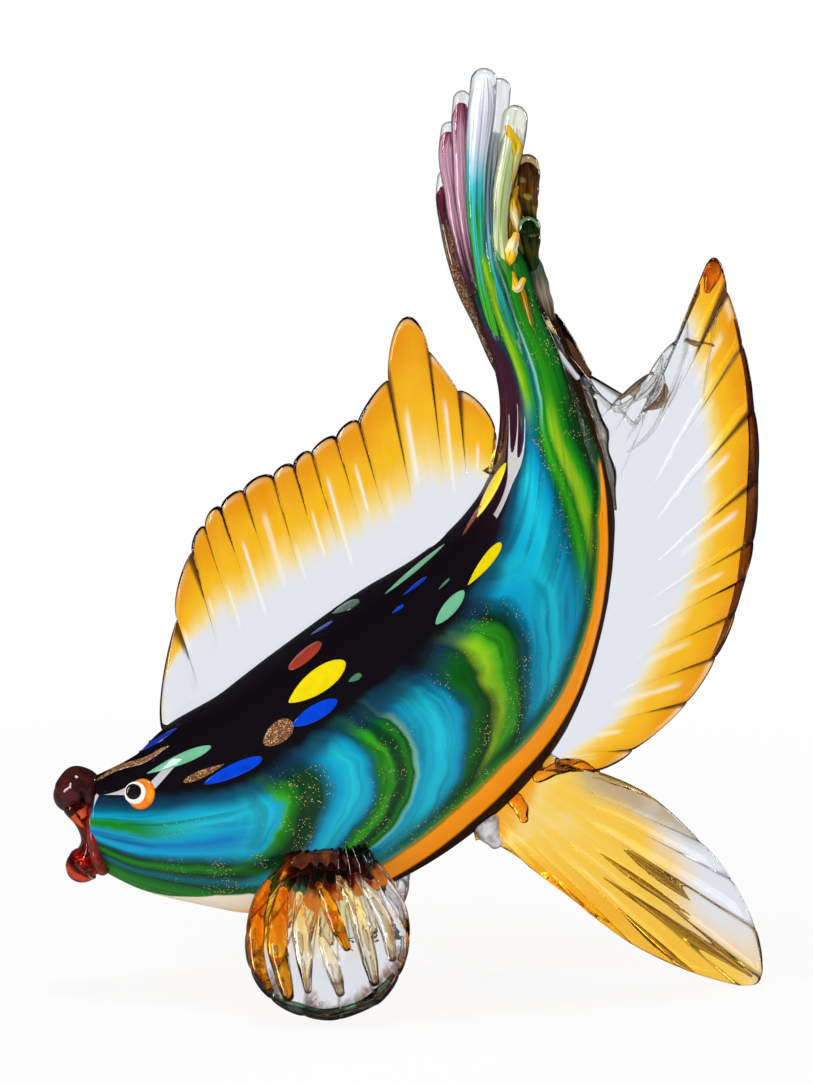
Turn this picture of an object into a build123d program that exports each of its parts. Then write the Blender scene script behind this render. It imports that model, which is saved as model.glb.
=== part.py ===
from build123d import *
import math
import os

# A leaping fish figurine in hot-worked glass, standing on two pectoral fins and a pelvic fin.
# The fish faces -X, its middle plane is XZ, and +Z is up. All lengths are in millimetres.
# Places are shares of the figurine's length and height, measured from the middle of its base.

# Overall sizes
figure_length = 212.0
figure_height = 280.0
body_width = 56.0

# Blown body: a clear casing over a coloured bubble, with colour sealed inside the casing
casing_wall = 4.4
colour_wall = 2.4
overlay_standoff = 0.8
overlay_thickness = 1.0
band_depth = 1.4
band_thickness = 2.0
chip_depth = 1.5
chip_thickness = 0.9

# Lips
upper_lip_diameter = 13.4
upper_lip_width = 19.0
lower_lip_diameter = 10.8
lower_lip_width = 15.0
lip_web_diameter = 9.8
lip_web_width = 14.0

# Eyes
eye_diameter = 9.8
eye_white_diameter = 7.4
eye_pupil_diameter = 4.8
eye_proud = 3.2

# Fins
dorsal_thickness = 6.4
anal_thickness = 6.6
pectoral_thickness = 8.6
pelvic_thickness = 8.0
scallop_depth = 2.6
groove_radius = 6.0
groove_depth = 1.5
pectoral_root_out = 22.0
pectoral_foot_out = 55.0

# Tail
trail_radius = 2.8

# Overrun of cutting solids past what they cut
overrun = 10.0

# Body stations along the spine: place along the length, place up the height,
# half height across the spine as a share of the height, half width as a share of the body width.
body_station_shares = [
    (-0.446, 0.180, 0.043, 0.165),
    (-0.363, 0.183, 0.082, 0.30),
    (-0.292, 0.193, 0.109, 0.39),
    (-0.212, 0.204, 0.126, 0.455),
    (-0.134, 0.228, 0.138, 0.49),
    (-0.015, 0.287, 0.143, 0.50),
    (0.093, 0.364, 0.130, 0.465),
    (0.158, 0.439, 0.102, 0.39),
    (0.197, 0.523, 0.075, 0.30),
    (0.200, 0.594, 0.0545, 0.23),
    (0.193, 0.637, 0.045, 0.195),
    (0.175, 0.692, 0.039, 0.17),
    (0.149, 0.741, 0.037, 0.15),
    (0.132, 0.784, 0.037, 0.145),
]
hollow_station_count = 9

# Half angles about the spine, in degrees, of the dark back and of the belly band,
# at each station from the second to the last
back_half_angles = [72, 80, 80, 72, 76, 71, 68, 66, 57, 50, 42, 34, 26]
band_half_angles = [34, 38, 38, 36, 36, 38, 40, 42, 40, 32, 24, 18, 14]

# Colour chips on the flank: place, length and width as shares of the length, and tilt in degrees
chip_shares = {
    "yellow_chips": [
        (-0.127, 0.331, 0.088, 0.043, 30),
        (0.112, 0.459, 0.060, 0.023, 60),
        (0.122, 0.533, 0.060, 0.020, 67),
    ],
    "blue_chips": [
        (-0.132, 0.291, 0.066, 0.024, 26),
        (-0.240, 0.240, 0.060, 0.022, 25),
        (0.002, 0.432, 0.032, 0.012, 38),
    ],
    "mint_chips": [
        (-0.318, 0.242, 0.060, 0.022, 28),
        (0.058, 0.405, 0.046, 0.028, 55),
        (-0.068, 0.332, 0.022, 0.014, 25),
    ],
    "red_chips": [
        (-0.150, 0.360, 0.040, 0.022, 38),
        (0.078, 0.500, 0.060, 0.018, 56),
    ],
    "copper_chips": [
        (-0.182, 0.270, 0.040, 0.034, 30),
        (-0.300, 0.207, 0.044, 0.015, 18),
    ],
}

# Fin rays as (root along, root up, tip along, tip up), from front to rear
dorsal_ray_shares = [
    (-0.312, 0.268, -0.344, 0.345),
    (-0.258, 0.300, -0.323, 0.430),
    (-0.213, 0.326, -0.296, 0.490),
    (-0.168, 0.352, -0.255, 0.536),
    (-0.125, 0.375, -0.204, 0.557),
    (-0.086, 0.395, -0.156, 0.583),
    (-0.049, 0.414, -0.108, 0.602),
    (-0.015, 0.431, -0.063, 0.621),
    (0.016, 0.449, -0.026, 0.668),
    (0.045, 0.465, -0.002, 0.722),
    (0.070, 0.481, 0.043, 0.679),
    (0.093, 0.498, 0.083, 0.650),
    (0.112, 0.515, 0.110, 0.632),
    (0.129, 0.533, 0.122, 0.603),
]
anal_ray_shares = [
    (0.220, 0.661, 0.260, 0.670),
    (0.234, 0.626, 0.295, 0.650),
    (0.248, 0.594, 0.328, 0.642),
    (0.260, 0.561, 0.344, 0.659),
    (0.277, 0.523, 0.442, 0.785),
    (0.278, 0.501, 0.469, 0.729),
    (0.277, 0.479, 0.487, 0.661),
    (0.274, 0.456, 0.496, 0.598),
    (0.270, 0.432, 0.496, 0.535),
    (0.262, 0.408, 0.487, 0.472),
    (0.254, 0.382, 0.472, 0.412),
    (0.243, 0.356, 0.446, 0.360),
    (0.230, 0.330, 0.411, 0.313),
    (0.217, 0.305, 0.361, 0.271),
    (0.202, 0.280, 0.302, 0.243),
    (0.183, 0.256, 0.248, 0.228),
]
pelvic_ray_shares = [
    (0.079, 0.178, 0.110, 0.160),
    (0.087, 0.184, 0.175, 0.130),
    (0.097, 0.192, 0.274, 0.069),
    (0.107, 0.199, 0.370, 0.023),
    (0.117, 0.207, 0.455, -0.004),
    (0.127, 0.215, 0.494, 0.003),
    (0.135, 0.222, 0.497, 0.051),
    (0.144, 0.230, 0.468, 0.106),
    (0.152, 0.238, 0.415, 0.155),
    (0.161, 0.245, 0.347, 0.199),
    (0.169, 0.253, 0.271, 0.228),
]

# Pectoral fin in its own leaning plane: across as a share of the length,
# down as a share of the fin's drop, for the root and the tip of each ray.
pectoral_root_shares = (-0.105, 0.159)
pectoral_ray_shares = [
    (-0.072, -0.08, -0.108, 0.20),
    (-0.058, -0.10, -0.120, 0.42),
    (-0.044, -0.11, -0.119, 0.66),
    (-0.029, -0.11, -0.096, 0.87),
    (-0.014, -0.11, -0.052, 1.02),
    (0.000, -0.11, 0.004, 1.05),
    (0.014, -0.11, 0.056, 0.97),
    (0.029, -0.11, 0.092, 0.78),
    (0.044, -0.11, 0.108, 0.56),
    (0.058, -0.10, 0.110, 0.36),
    (0.072, -0.08, 0.100, 0.18),
]

# Tail lobes: root, middle and tip of each drawn flute, its radius as a share of the length,
# and how far it stands out to the side as a share of the body width.
tail_lobe_shares = {
    "tail_lobe_white": ([(0.127, 0.770), (0.112, 0.905), (0.110, 1.000)], 0.0225, -0.10),
    "tail_lobe_green": ([(0.150, 0.765), (0.146, 0.880), (0.152, 0.963)], 0.0205, -0.12),
    "tail_lobe_clear": ([(0.139, 0.767), (0.137, 0.905), (0.135, 0.989)], 0.0195, 0.03),
    "tail_lobe_rose": ([(0.118, 0.768), (0.092, 0.895), (0.080, 0.977)], 0.0180, -0.03),
    "tail_lobe_plum": ([(0.113, 0.760), (0.073, 0.875), (0.063, 0.944)], 0.0175, 0.04),
    "tail_lobe_copper": ([(0.108, 0.745), (0.062, 0.825), (0.054, 0.890)], 0.0160, 0.11),
    "tail_lobe_amber": ([(0.156, 0.760), (0.164, 0.845), (0.168, 0.906)], 0.0215, 0.00),
    "tail_lobe_olive": ([(0.155, 0.745), (0.172, 0.800), (0.174, 0.844)], 0.0185, 0.06),
}
lobe_radius_shares = [0.60, 0.92, 0.55]

# Trail of glass down the rear of the tail stem to the foot of the anal fin
trail_shares = [(0.172, 0.785), (0.192, 0.740), (0.213, 0.703), (0.240, 0.672)]
trail_radius_shares = [0.62, 1.00, 0.86, 0.70]

upper_lip_share = (-0.469, 0.214)
lower_lip_share = (-0.458, 0.128)
lip_web_share = (-0.449, 0.168)
eye_share = (-0.374, 0.209)

os.makedirs("parts", exist_ok=True)


def place(along_share, up_share, out=0):
    """A point from shares of the length and height, and a length out to the side."""
    return Vector(along_share * figure_length, out, up_share * figure_height)


def save(node, label):
    """Labels a finished piece and writes it as one node."""
    node.part.label = label
    export_step(node.part, f"parts/{label}.step")


def path_tangent(points, index):
    """The direction of a path at one of its points, from the neighbours."""
    before = points[max(index - 1, 0)]
    after = points[min(index + 1, len(points) - 1)]
    return (after - before).normalized()


def body_section(index, inset=0):
    """The section plane across the spine at one station, and the two radii drawn in by an inset."""
    points = [place(along, up) for along, up, _, _ in body_station_shares]
    _, _, height_share, width_share = body_station_shares[index]
    tangent = path_tangent(points, index)
    section = Plane(origin=points[index], x_dir=tangent.cross(Vector(0, 1, 0)), z_dir=tangent)
    return section, height_share * figure_height - inset, width_share * body_width - inset


def body_loft(inset, station_count=len(body_station_shares)):
    """The body's smooth form, drawn in by an inset all over, as far as a number of stations."""
    with BuildPart() as form:
        for index in range(station_count):
            section, half_height, half_width = body_section(index, inset)
            end_inset = inset if index == 0 else 0
            if index == station_count - 1:
                end_inset = -inset
            with BuildSketch(section.offset(end_inset)):
                Ellipse(half_height, half_width)
        loft()
    return form.part


def wall_strip(half_angles, middle_angle, outer_inset, thickness):
    """A strip of colour inside the casing wall, from the head to the end of the tail stem."""
    with BuildPart() as strip:
        for index, half_angle in enumerate(half_angles, start=1):
            section, outer_height, outer_width = body_section(index, outer_inset)
            end_inset = -casing_wall if index == len(half_angles) else 0
            sweep = {"start_angle": middle_angle - half_angle, "arc_size": 2 * half_angle}
            inner_height = outer_height - thickness
            inner_width = outer_width - thickness
            with BuildSketch(section.offset(end_inset)):
                with BuildLine():
                    outer = EllipticalCenterArc((0, 0), outer_height, outer_width, **sweep)
                    inner = EllipticalCenterArc((0, 0), inner_height, inner_width, **sweep)
                    Line(outer @ 1, inner @ 1)
                    Line(inner @ 0, outer @ 0)
                make_face()
        loft()
    return strip


def drawn_rod(points, radii):
    """A round rod of hot glass, drawn along a path with a radius at each point."""
    with BuildPart() as rod:
        for index, (point, radius) in enumerate(zip(points, radii)):
            with BuildSketch(Plane(origin=point, z_dir=path_tangent(points, index))):
                Circle(radius)
        loft()
    return rod.part


def bead(centre, diameter, width):
    """A rounded bead of glass across the fish, round in side view."""
    with BuildPart() as ball:
        with BuildSketch(Plane(origin=centre, x_dir=(0, 1, 0), z_dir=(1, 0, 0))):
            SlotOverall(width, diameter)
            with Locations((0, -diameter / 2)):
                Rectangle(width, diameter, mode=Mode.SUBTRACT)
        revolve(axis=Axis(centre, (0, 1, 0)))
    return ball.part


def surface_place(shares):
    """The place on the left flank seen at a pair of shares, and the outward direction there."""
    start = place(*shares, -body_width)
    point, normal = body_form.find_intersection_points(Axis(start, (0, 1, 0)))[0]
    if normal.Y > 0:
        normal = normal * -1
    return point, normal.normalized()


def ribbed_blade(plane, rays, thickness):
    """A fin blade in a plane, with rounded rib ends and a groove between each two ribs."""
    grooves = []
    for (root, tip), (next_root, next_tip) in zip(rays, rays[1:]):
        groove_root = (root + next_root) / 2
        groove_tip = (tip + next_tip) / 2
        groove_tip = groove_tip - (groove_tip - groove_root).normalized() * scallop_depth
        grooves.append((groove_root, groove_tip))
    roots = [root for root, _ in rays]
    with BuildPart() as blade:
        with BuildSketch(plane):
            with BuildLine():
                Polyline(roots[0], rays[0][1], grooves[0][1])
                for (_, tip), before, after in zip(rays[1:], grooves, grooves[1:]):
                    Spline(before[1], tip, after[1])
                Polyline(grooves[-1][1], rays[-1][1], *reversed(roots))
            make_face()
        extrude(amount=thickness / 2, both=True)
        for groove_root, groove_tip in grooves:
            for face in (-1, 1):
                height = thickness / 2 + groove_radius
                start = plane.from_local_coords(groove_root + Vector(0, 0, face * height))
                height = height - groove_depth
                end = plane.from_local_coords(groove_tip + Vector(0, 0, face * height))
                along = end - start
                with BuildSketch(Plane(origin=start, z_dir=along)):
                    Circle(groove_radius)
                extrude(amount=along.length + overrun, mode=Mode.SUBTRACT)
    return blade.part


def middle_rays(ray_shares):
    """Rays in the middle plane, from inside the body to the edge of the fin."""
    return [
        (
            Vector(root_along * figure_length, root_up * figure_height),
            Vector(tip_along * figure_length, tip_up * figure_height),
        )
        for root_along, root_up, tip_along, tip_up in ray_shares
    ]


def ground_box():
    """Everything under the standing plane, for grinding the feet flat."""
    with BuildPart() as ground:
        with Locations((0, 0, 0)):
            Box(
                figure_length + overrun,
                2 * pectoral_foot_out + overrun,
                overrun,
                align=(Align.CENTER, Align.CENTER, Align.MAX),
            )
    return ground.part


# Body forms
body_form = body_loft(0)
bubble_form = body_loft(casing_wall)
hollow_form = body_loft(casing_wall + colour_wall, hollow_station_count)

# Colour bubble, blown hollow
with BuildPart() as colour_bubble:
    add(bubble_form)
    add(hollow_form, mode=Mode.SUBTRACT)
save(colour_bubble, "colour_bubble")

# Dark glass overlay on the back, just over the bubble, and orange band along the belly
overlay_depth = casing_wall - overlay_standoff - overlay_thickness
back_overlay = wall_strip(back_half_angles, 0, overlay_depth, overlay_thickness)
save(back_overlay, "back_overlay")
belly_band = wall_strip(band_half_angles, 180, band_depth, band_thickness)
save(belly_band, "belly_band")


def colour_chips(shares):
    """Thin oval chips of colour sealed in the casing of both flanks."""
    with BuildPart() as chips:
        for along, up, length_share, width_share, tilt in shares:
            point, normal = surface_place((along, up))
            lie = Vector(math.cos(math.radians(tilt)), 0, math.sin(math.radians(tilt)))
            flat = Plane(
                origin=point - normal * chip_depth,
                x_dir=lie - normal * lie.dot(normal),
                z_dir=normal,
            )
            with BuildSketch(flat):
                Ellipse(length_share * figure_length / 2, width_share * figure_length / 2)
            extrude(amount=chip_thickness / 2, both=True)
        mirror(about=Plane.XZ)
    return chips


chip_nodes = {}
for name, shares in chip_shares.items():
    chip_nodes[name] = colour_chips(shares)
    save(chip_nodes[name], name)

# Clear casing over the colour
with BuildPart() as body_casing:
    add(body_form)
    add(bubble_form, mode=Mode.SUBTRACT)
    add(back_overlay.part, mode=Mode.SUBTRACT)
    add(belly_band.part, mode=Mode.SUBTRACT)
    for node in chip_nodes.values():
        add(node.part, mode=Mode.SUBTRACT)
save(body_casing, "body_casing")

# Lips and the web of the mouth
with BuildPart() as upper_lip:
    add(bead(place(*upper_lip_share), upper_lip_diameter, upper_lip_width))
    add(body_form, mode=Mode.SUBTRACT)
save(upper_lip, "upper_lip")

with BuildPart() as lower_lip:
    add(bead(place(*lower_lip_share), lower_lip_diameter, lower_lip_width))
    add(body_form, mode=Mode.SUBTRACT)
save(lower_lip, "lower_lip")

with BuildPart() as lip_web:
    add(bead(place(*lip_web_share), lip_web_diameter, lip_web_width))
    add(body_form, mode=Mode.SUBTRACT)
    add(upper_lip.part, mode=Mode.SUBTRACT)
    add(lower_lip.part, mode=Mode.SUBTRACT)
save(lip_web, "lip_web")

# Eyes, each a bead with a white cap and a dark pupil
eye_radius = eye_diameter / 2
white_step = math.sqrt(eye_radius**2 - (eye_white_diameter / 2) ** 2)
pupil_step = math.sqrt(eye_radius**2 - (eye_pupil_diameter / 2) ** 2)
eye_surface, eye_axis = surface_place(eye_share)
for side, turn in (("left", 1), ("right", -1)):
    axis = Vector(eye_axis.X, eye_axis.Y * turn, eye_axis.Z)
    surface = Vector(eye_surface.X, eye_surface.Y * turn, eye_surface.Z)
    centre = surface + axis * (eye_proud - eye_radius)
    white_plane = Plane(origin=centre + axis * white_step, z_dir=axis)
    pupil_plane = Plane(origin=centre + axis * pupil_step, z_dir=axis)
    with BuildPart() as eye_ball:
        with Locations(centre):
            Sphere(eye_radius)
        split(bisect_by=white_plane, keep=Keep.BOTTOM)
        add(body_form, mode=Mode.SUBTRACT)
    save(eye_ball, f"{side}_eye_ball")
    with BuildPart() as eye_white:
        with Locations(centre):
            Sphere(eye_radius)
        split(bisect_by=white_plane, keep=Keep.TOP)
        split(bisect_by=pupil_plane, keep=Keep.BOTTOM)
    save(eye_white, f"{side}_eye_white")
    with BuildPart() as eye_pupil:
        with Locations(centre):
            Sphere(eye_radius)
        split(bisect_by=pupil_plane, keep=Keep.TOP)
    save(eye_pupil, f"{side}_eye_pupil")

# Dorsal fin along the back
with BuildPart() as dorsal_fin:
    add(ribbed_blade(Plane.XZ, middle_rays(dorsal_ray_shares), dorsal_thickness))
    add(body_form, mode=Mode.SUBTRACT)
save(dorsal_fin, "dorsal_fin")

# Anal fin behind the body
with BuildPart() as anal_fin:
    add(ribbed_blade(Plane.XZ, middle_rays(anal_ray_shares), anal_thickness))
    add(body_form, mode=Mode.SUBTRACT)
save(anal_fin, "anal_fin")

# Pelvic fin, ground flat where it stands
with BuildPart() as pelvic_fin:
    add(ribbed_blade(Plane.XZ, middle_rays(pelvic_ray_shares), pelvic_thickness))
    add(body_form, mode=Mode.SUBTRACT)
    add(anal_fin.part, mode=Mode.SUBTRACT)
    add(ground_box(), mode=Mode.SUBTRACT)
save(pelvic_fin, "pelvic_fin")

# Pectoral fins, leaning out to their feet
for side, turn in (("left", -1), ("right", 1)):
    fin_root = place(*pectoral_root_shares, turn * pectoral_root_out)
    drop = Vector(fin_root.X, turn * pectoral_foot_out, 0) - fin_root
    lean = Plane(origin=fin_root, x_dir=(1, 0, 0), z_dir=drop.cross(Vector(1, 0, 0)))
    rays = []
    for root_across, root_down, tip_across, tip_down in pectoral_ray_shares:
        root = Vector(root_across * figure_length, -root_down * drop.length)
        tip = Vector(tip_across * figure_length, -tip_down * drop.length)
        rays.append((root, tip))
    with BuildPart() as pectoral_fin:
        add(ribbed_blade(lean, rays, pectoral_thickness))
        add(body_form, mode=Mode.SUBTRACT)
        add(ground_box(), mode=Mode.SUBTRACT)
    save(pectoral_fin, f"{side}_pectoral_fin")

# Tail of eight drawn lobes, each pressed against the ones before it
earlier_lobes = []
for name, (path_shares, radius_share, out_share) in tail_lobe_shares.items():
    root, middle, tip = [place(along, up) for along, up in path_shares]
    out = Vector(0, out_share * body_width, 0)
    radius = radius_share * figure_length
    points = [root + out / 2, middle + out, tip + out]
    with BuildPart() as tail_lobe:
        add(drawn_rod(points, [radius * share for share in lobe_radius_shares]))
        add(body_form, mode=Mode.SUBTRACT)
        for lobe in earlier_lobes:
            add(lobe, mode=Mode.SUBTRACT)
    earlier_lobes.append(tail_lobe.part)
    save(tail_lobe, name)

# Pinched trail from the tail to the anal fin
with BuildPart() as tail_trail:
    trail_points = [place(along, up) for along, up in trail_shares]
    add(drawn_rod(trail_points, [trail_radius * share for share in trail_radius_shares]))
    add(body_form, mode=Mode.SUBTRACT)
    add(anal_fin.part, mode=Mode.SUBTRACT)
    for lobe in earlier_lobes:
        add(lobe, mode=Mode.SUBTRACT)
save(tail_trail, "tail_trail")
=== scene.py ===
"""The looks of a leaping fish figurine in hot-worked glass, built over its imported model.

The fish faces -X and stands on Z = 0. The photograph shows its left side, the one toward -Y.
Places that were read off the photograph are columns and rows of its frame. Lengths are in metres
where nothing else is said.
"""

import logging
import math
from collections.abc import Sequence
from dataclasses import dataclass, field
from enum import Enum
from functools import cache

import bpy
import numpy as np
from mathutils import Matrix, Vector
from mathutils.bvhtree import BVHTree


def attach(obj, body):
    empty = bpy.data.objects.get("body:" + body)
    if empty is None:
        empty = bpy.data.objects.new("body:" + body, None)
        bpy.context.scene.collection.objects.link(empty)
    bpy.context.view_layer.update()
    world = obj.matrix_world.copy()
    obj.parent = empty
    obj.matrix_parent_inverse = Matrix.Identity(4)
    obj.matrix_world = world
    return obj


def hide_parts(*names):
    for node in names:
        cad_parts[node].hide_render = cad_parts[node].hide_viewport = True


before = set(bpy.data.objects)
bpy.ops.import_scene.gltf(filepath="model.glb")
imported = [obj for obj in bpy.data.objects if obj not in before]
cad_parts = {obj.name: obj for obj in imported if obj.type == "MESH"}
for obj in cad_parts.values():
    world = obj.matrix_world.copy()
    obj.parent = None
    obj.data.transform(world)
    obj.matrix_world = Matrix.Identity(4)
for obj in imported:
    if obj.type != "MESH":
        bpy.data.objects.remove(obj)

log = logging.getLogger("figurine")

Colour = tuple[float, float, float]
Stops = Sequence[tuple[float, Colour]]
Line = tuple[tuple[float, ...], ...]
Socket = bpy.types.NodeSocket
Piece = bpy.types.Object
Feed = float | int | tuple | Socket

BODY = "figurine"
LENGTH = 0.212
HEIGHT = 0.28
WIDTH = 0.056
SEED = 11
FULL_TURN = 2 * math.pi
QUARTER_TURN = math.pi / 2
PER_METRE = 1000
THINNEST = 1e-4
CAP_RINGS = 6


class Side(Enum):
    """The two sides of the fish, by the sign of Y."""

    LEFT = -1
    RIGHT = 1


@dataclass(frozen=True)
class Photograph:
    """The photograph's frame and the camera that shows the figurine in it."""

    columns: int = 813
    rows: int = 1085
    metres_per_pixel: float = 0.0003
    ground_row: float = 985.0
    elevation: float = math.radians(10)
    lens: float = 220.0
    sensor: float = 36.0

    @property
    def step(self) -> float:
        """The slope of a ray one pixel off the middle of the frame."""
        return self.sensor / self.rows / self.lens

    @property
    def distance(self) -> float:
        """How far the camera stands from the point it looks at."""
        return self.metres_per_pixel / self.step

    @property
    def aim_height(self) -> float:
        """The height of the point it looks at, over the middle of the base.

        Returns:
            The height in metres.
        """
        sine, cosine = math.sin(self.elevation), math.cos(self.elevation)
        slope = (self.rows / 2 - self.ground_row) * self.step
        reach = self.distance * cosine / (cosine + slope * sine)
        return -(self.distance * sine + reach * (slope * cosine - sine))

    @property
    def eye(self) -> Vector:
        """Where the camera stands."""
        sine, cosine = math.sin(self.elevation), math.cos(self.elevation)
        return Vector((0, -self.distance * cosine, self.aim_height + self.distance * sine))

    def ray(self, column: float, row: float) -> Vector:
        """The direction in which a pixel is seen from the camera's eye, not of unit length.

        Args:
            column: The pixel's column.
            row: The pixel's row.

        Returns:
            The direction.
        """
        sine, cosine = math.sin(self.elevation), math.cos(self.elevation)
        up = (self.rows / 2 - row) * self.step
        return Vector(((column - self.columns / 2) * self.step, cosine + up * sine, up * cosine - sine))

    def place_on(self, column: float, row: float, origin: Vector, normal: Vector) -> Vector:
        """The point of the plane through an origin, with a normal, that a pixel shows."""
        ray = self.ray(column, row)
        return self.eye + ray * ((origin - self.eye).dot(normal) / ray.dot(normal))

    def place(self, column: float, row: float, out: float = 0.0) -> Vector:
        """The point that a pixel shows at a distance out from the middle plane."""
        return self.place_on(column, row, Vector((0, out, 0)), Vector((0, 1, 0)))


PHOTO = Photograph()


def traced(rows: Line, out: float = 0.0, share: float = 1.0) -> list[tuple[float, ...]]:
    """A line read off the photograph, as places and radii.

    Args:
        rows: Rows of column, row and radius in pixels, or with a distance out in millimetres before the radius.
        out: How far out from the middle plane a row without that distance lies.
        share: What the radii are multiplied by.

    Returns:
        Rows of X, Y, Z and radius.
    """
    scale = PHOTO.metres_per_pixel * share
    path = []
    for column, row, *outs, radius in rows:
        where = PHOTO.place(column, row, outs[0] / PER_METRE if outs else out)
        path.append((*where, radius * scale))
    return path


def smooth_path(points: Sequence[Sequence[float]], count: int, axes: int = 3) -> np.ndarray:
    """A natural cubic spline through points, evenly spaced along its chords.

    Args:
        points: Rows of numbers. The first ones are coordinates, and others follow them smoothly.
        count: How many rows to return.
        axes: How many of the numbers are coordinates.

    Returns:
        The rows along the curve, the first and the last on the end points.
    """
    rows = np.array([tuple(p) for p in points], float)
    chords = np.linalg.norm(np.diff(rows[:, :axes], axis=0), axis=1)
    knots = np.concatenate(([0.0], np.cumsum(np.maximum(chords, 1e-9))))
    system, load = np.eye(len(rows)), np.zeros_like(rows)
    for i in range(1, len(rows) - 1):
        before, after = knots[i] - knots[i - 1], knots[i + 1] - knots[i]
        system[i, i - 1 : i + 2] = before, 2 * (before + after), after
        load[i] = 6 * ((rows[i + 1] - rows[i]) / after - (rows[i] - rows[i - 1]) / before)
    bend = np.linalg.solve(system, load)
    at = np.linspace(0, knots[-1], count)
    span = np.clip(np.searchsorted(knots, at, side="right") - 1, 0, len(knots) - 2)
    width = (knots[span + 1] - knots[span])[:, None]
    to, past = knots[span + 1][:, None] - at[:, None], at[:, None] - knots[span][:, None]
    return (
        (bend[span] * to**3 + bend[span + 1] * past**3) / (6 * width)
        + (rows[span] / width - bend[span] * width / 6) * to
        + (rows[span + 1] / width - bend[span + 1] * width / 6) * past
    )


def ease(value: np.ndarray | float, low: float, high: float) -> np.ndarray | float:
    """A smooth step from 0 at low to 1 at high."""
    t = np.clip((value - low) / (high - low), 0, 1)
    return t * t * (3 - 2 * t)


def between(values: np.ndarray, index: int, share: float) -> np.ndarray:
    """What lies a share of the way from one of the values to the next."""
    return values[index] * (1 - share) + values[index + 1] * share


def make_piece(
    name: str,
    points: np.ndarray,
    faces: Sequence[Sequence[int]],
    marks: dict[str, np.ndarray] | None = None,
) -> Piece:
    """A smooth-shaded mesh object with numbers marked on its points.

    Args:
        name: The piece's name.
        points: Its points, in metres.
        faces: Its faces, as point numbers.
        marks: Named numbers, one for each point, that its material reads.

    Returns:
        The new object, in the scene.
    """
    mesh = bpy.data.meshes.new(name)
    mesh.from_pydata([tuple(p) for p in points.reshape(-1, 3)], [], [tuple(f) for f in faces])
    for label, values in (marks or {}).items():
        layer = mesh.attributes.new(label, "FLOAT", "POINT")
        layer.data.foreach_set("value", np.asarray(values, np.float32).ravel())
    mesh.polygons.foreach_set("use_smooth", [True] * len(mesh.polygons))
    mesh.update()
    piece = bpy.data.objects.new(name, mesh)
    bpy.context.scene.collection.objects.link(piece)
    return piece


def ring_faces(rings: int, around: int, capped: bool = True) -> list[tuple[int, ...]]:
    """Faces of a stack of closed rings.

    Args:
        rings: How many rings.
        around: How many points in each.
        capped: Whether a flat face closes each end.

    Returns:
        The faces, as point numbers.
    """
    faces = []
    for ring in range(rings - 1):
        for step in range(around):
            here, after = ring * around + step, ring * around + (step + 1) % around
            faces.append((here, after, after + around, here + around))
    if capped:
        faces.append(tuple(reversed(range(around))))
        faces.append(tuple(range((rings - 1) * around, rings * around)))
    return faces


def outward(piece: Piece) -> Piece:
    """Turns a closed piece's faces outward, by the sign of its volume, and returns it.

    Args:
        piece: The piece.

    Returns:
        The same piece.
    """
    mesh = piece.data
    mesh.calc_loop_triangles()
    points = np.array([v.co for v in mesh.vertices])
    t = points[np.array([tri.vertices for tri in mesh.loop_triangles])]
    volume = np.einsum("ij,ij->i", t[:, 0], np.cross(t[:, 1], t[:, 2])).sum()
    if volume < 0:
        mesh.flip_normals()
    return piece


def rod(
    name: str,
    path: Sequence[Sequence[float]],
    around: int = 28,
    count: int = 60,
    lumps: float = 0.0,
    seed: int = SEED,
) -> Piece:
    """A drawn rod of glass with rounded ends.

    Args:
        name: The piece's name.
        path: Rows of X, Y, Z and radius, in metres.
        around: Points in a ring.
        count: Rings along it.
        lumps: How uneven its surface is, as a share of the radius.
        seed: Which unevenness.

    Returns:
        The new object, with the marks along and around.
    """
    rows = smooth_path(path, count)
    centres, radii = rows[:, :3], np.maximum(rows[:, 3], THINNEST)
    tangents = np.gradient(centres, axis=0)
    tangents /= np.linalg.norm(tangents, axis=1)[:, None]
    side = np.cross(tangents, (0.0, 1.0, 0.0))
    side /= np.maximum(np.linalg.norm(side, axis=1), 1e-9)[:, None]
    other = np.cross(tangents, side)
    ends = []
    for end, direction in ((0, -1), (-1, 1)):
        for turn in np.linspace(0, QUARTER_TURN, CAP_RINGS + 2)[1:-1]:
            centre = centres[end] + direction * tangents[end] * radii[end] * math.sin(turn)
            ends.append((centre, side[end], other[end], radii[end] * math.cos(turn)))
    stack = ends[:CAP_RINGS][::-1] + list(zip(centres, side, other, radii)) + ends[CAP_RINGS:]
    angles = np.arange(around) * FULL_TURN / around
    chance = np.random.default_rng(seed)
    phases = chance.uniform(0, FULL_TURN, 4)
    points, along = [], []
    for index, (centre, a, b, radius) in enumerate(stack):
        s = index / (len(stack) - 1)
        wave = np.sin(2 * angles + phases[0] + 5 * s) + np.sin(9 * s + phases[1] + angles)
        wave = wave + np.sin(23 * s + phases[2]) * 0.8
        reach = radius * (1 + lumps * wave / 2)
        points.append(centre + np.outer(np.cos(angles) * reach, a) + np.outer(np.sin(angles) * reach, b))
        along.append(np.full(around, s))
    marks = {"along": np.array(along), "around": np.tile(angles / (FULL_TURN), (len(stack), 1))}
    return outward(make_piece(name, np.array(points), ring_faces(len(stack), around), marks))


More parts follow.
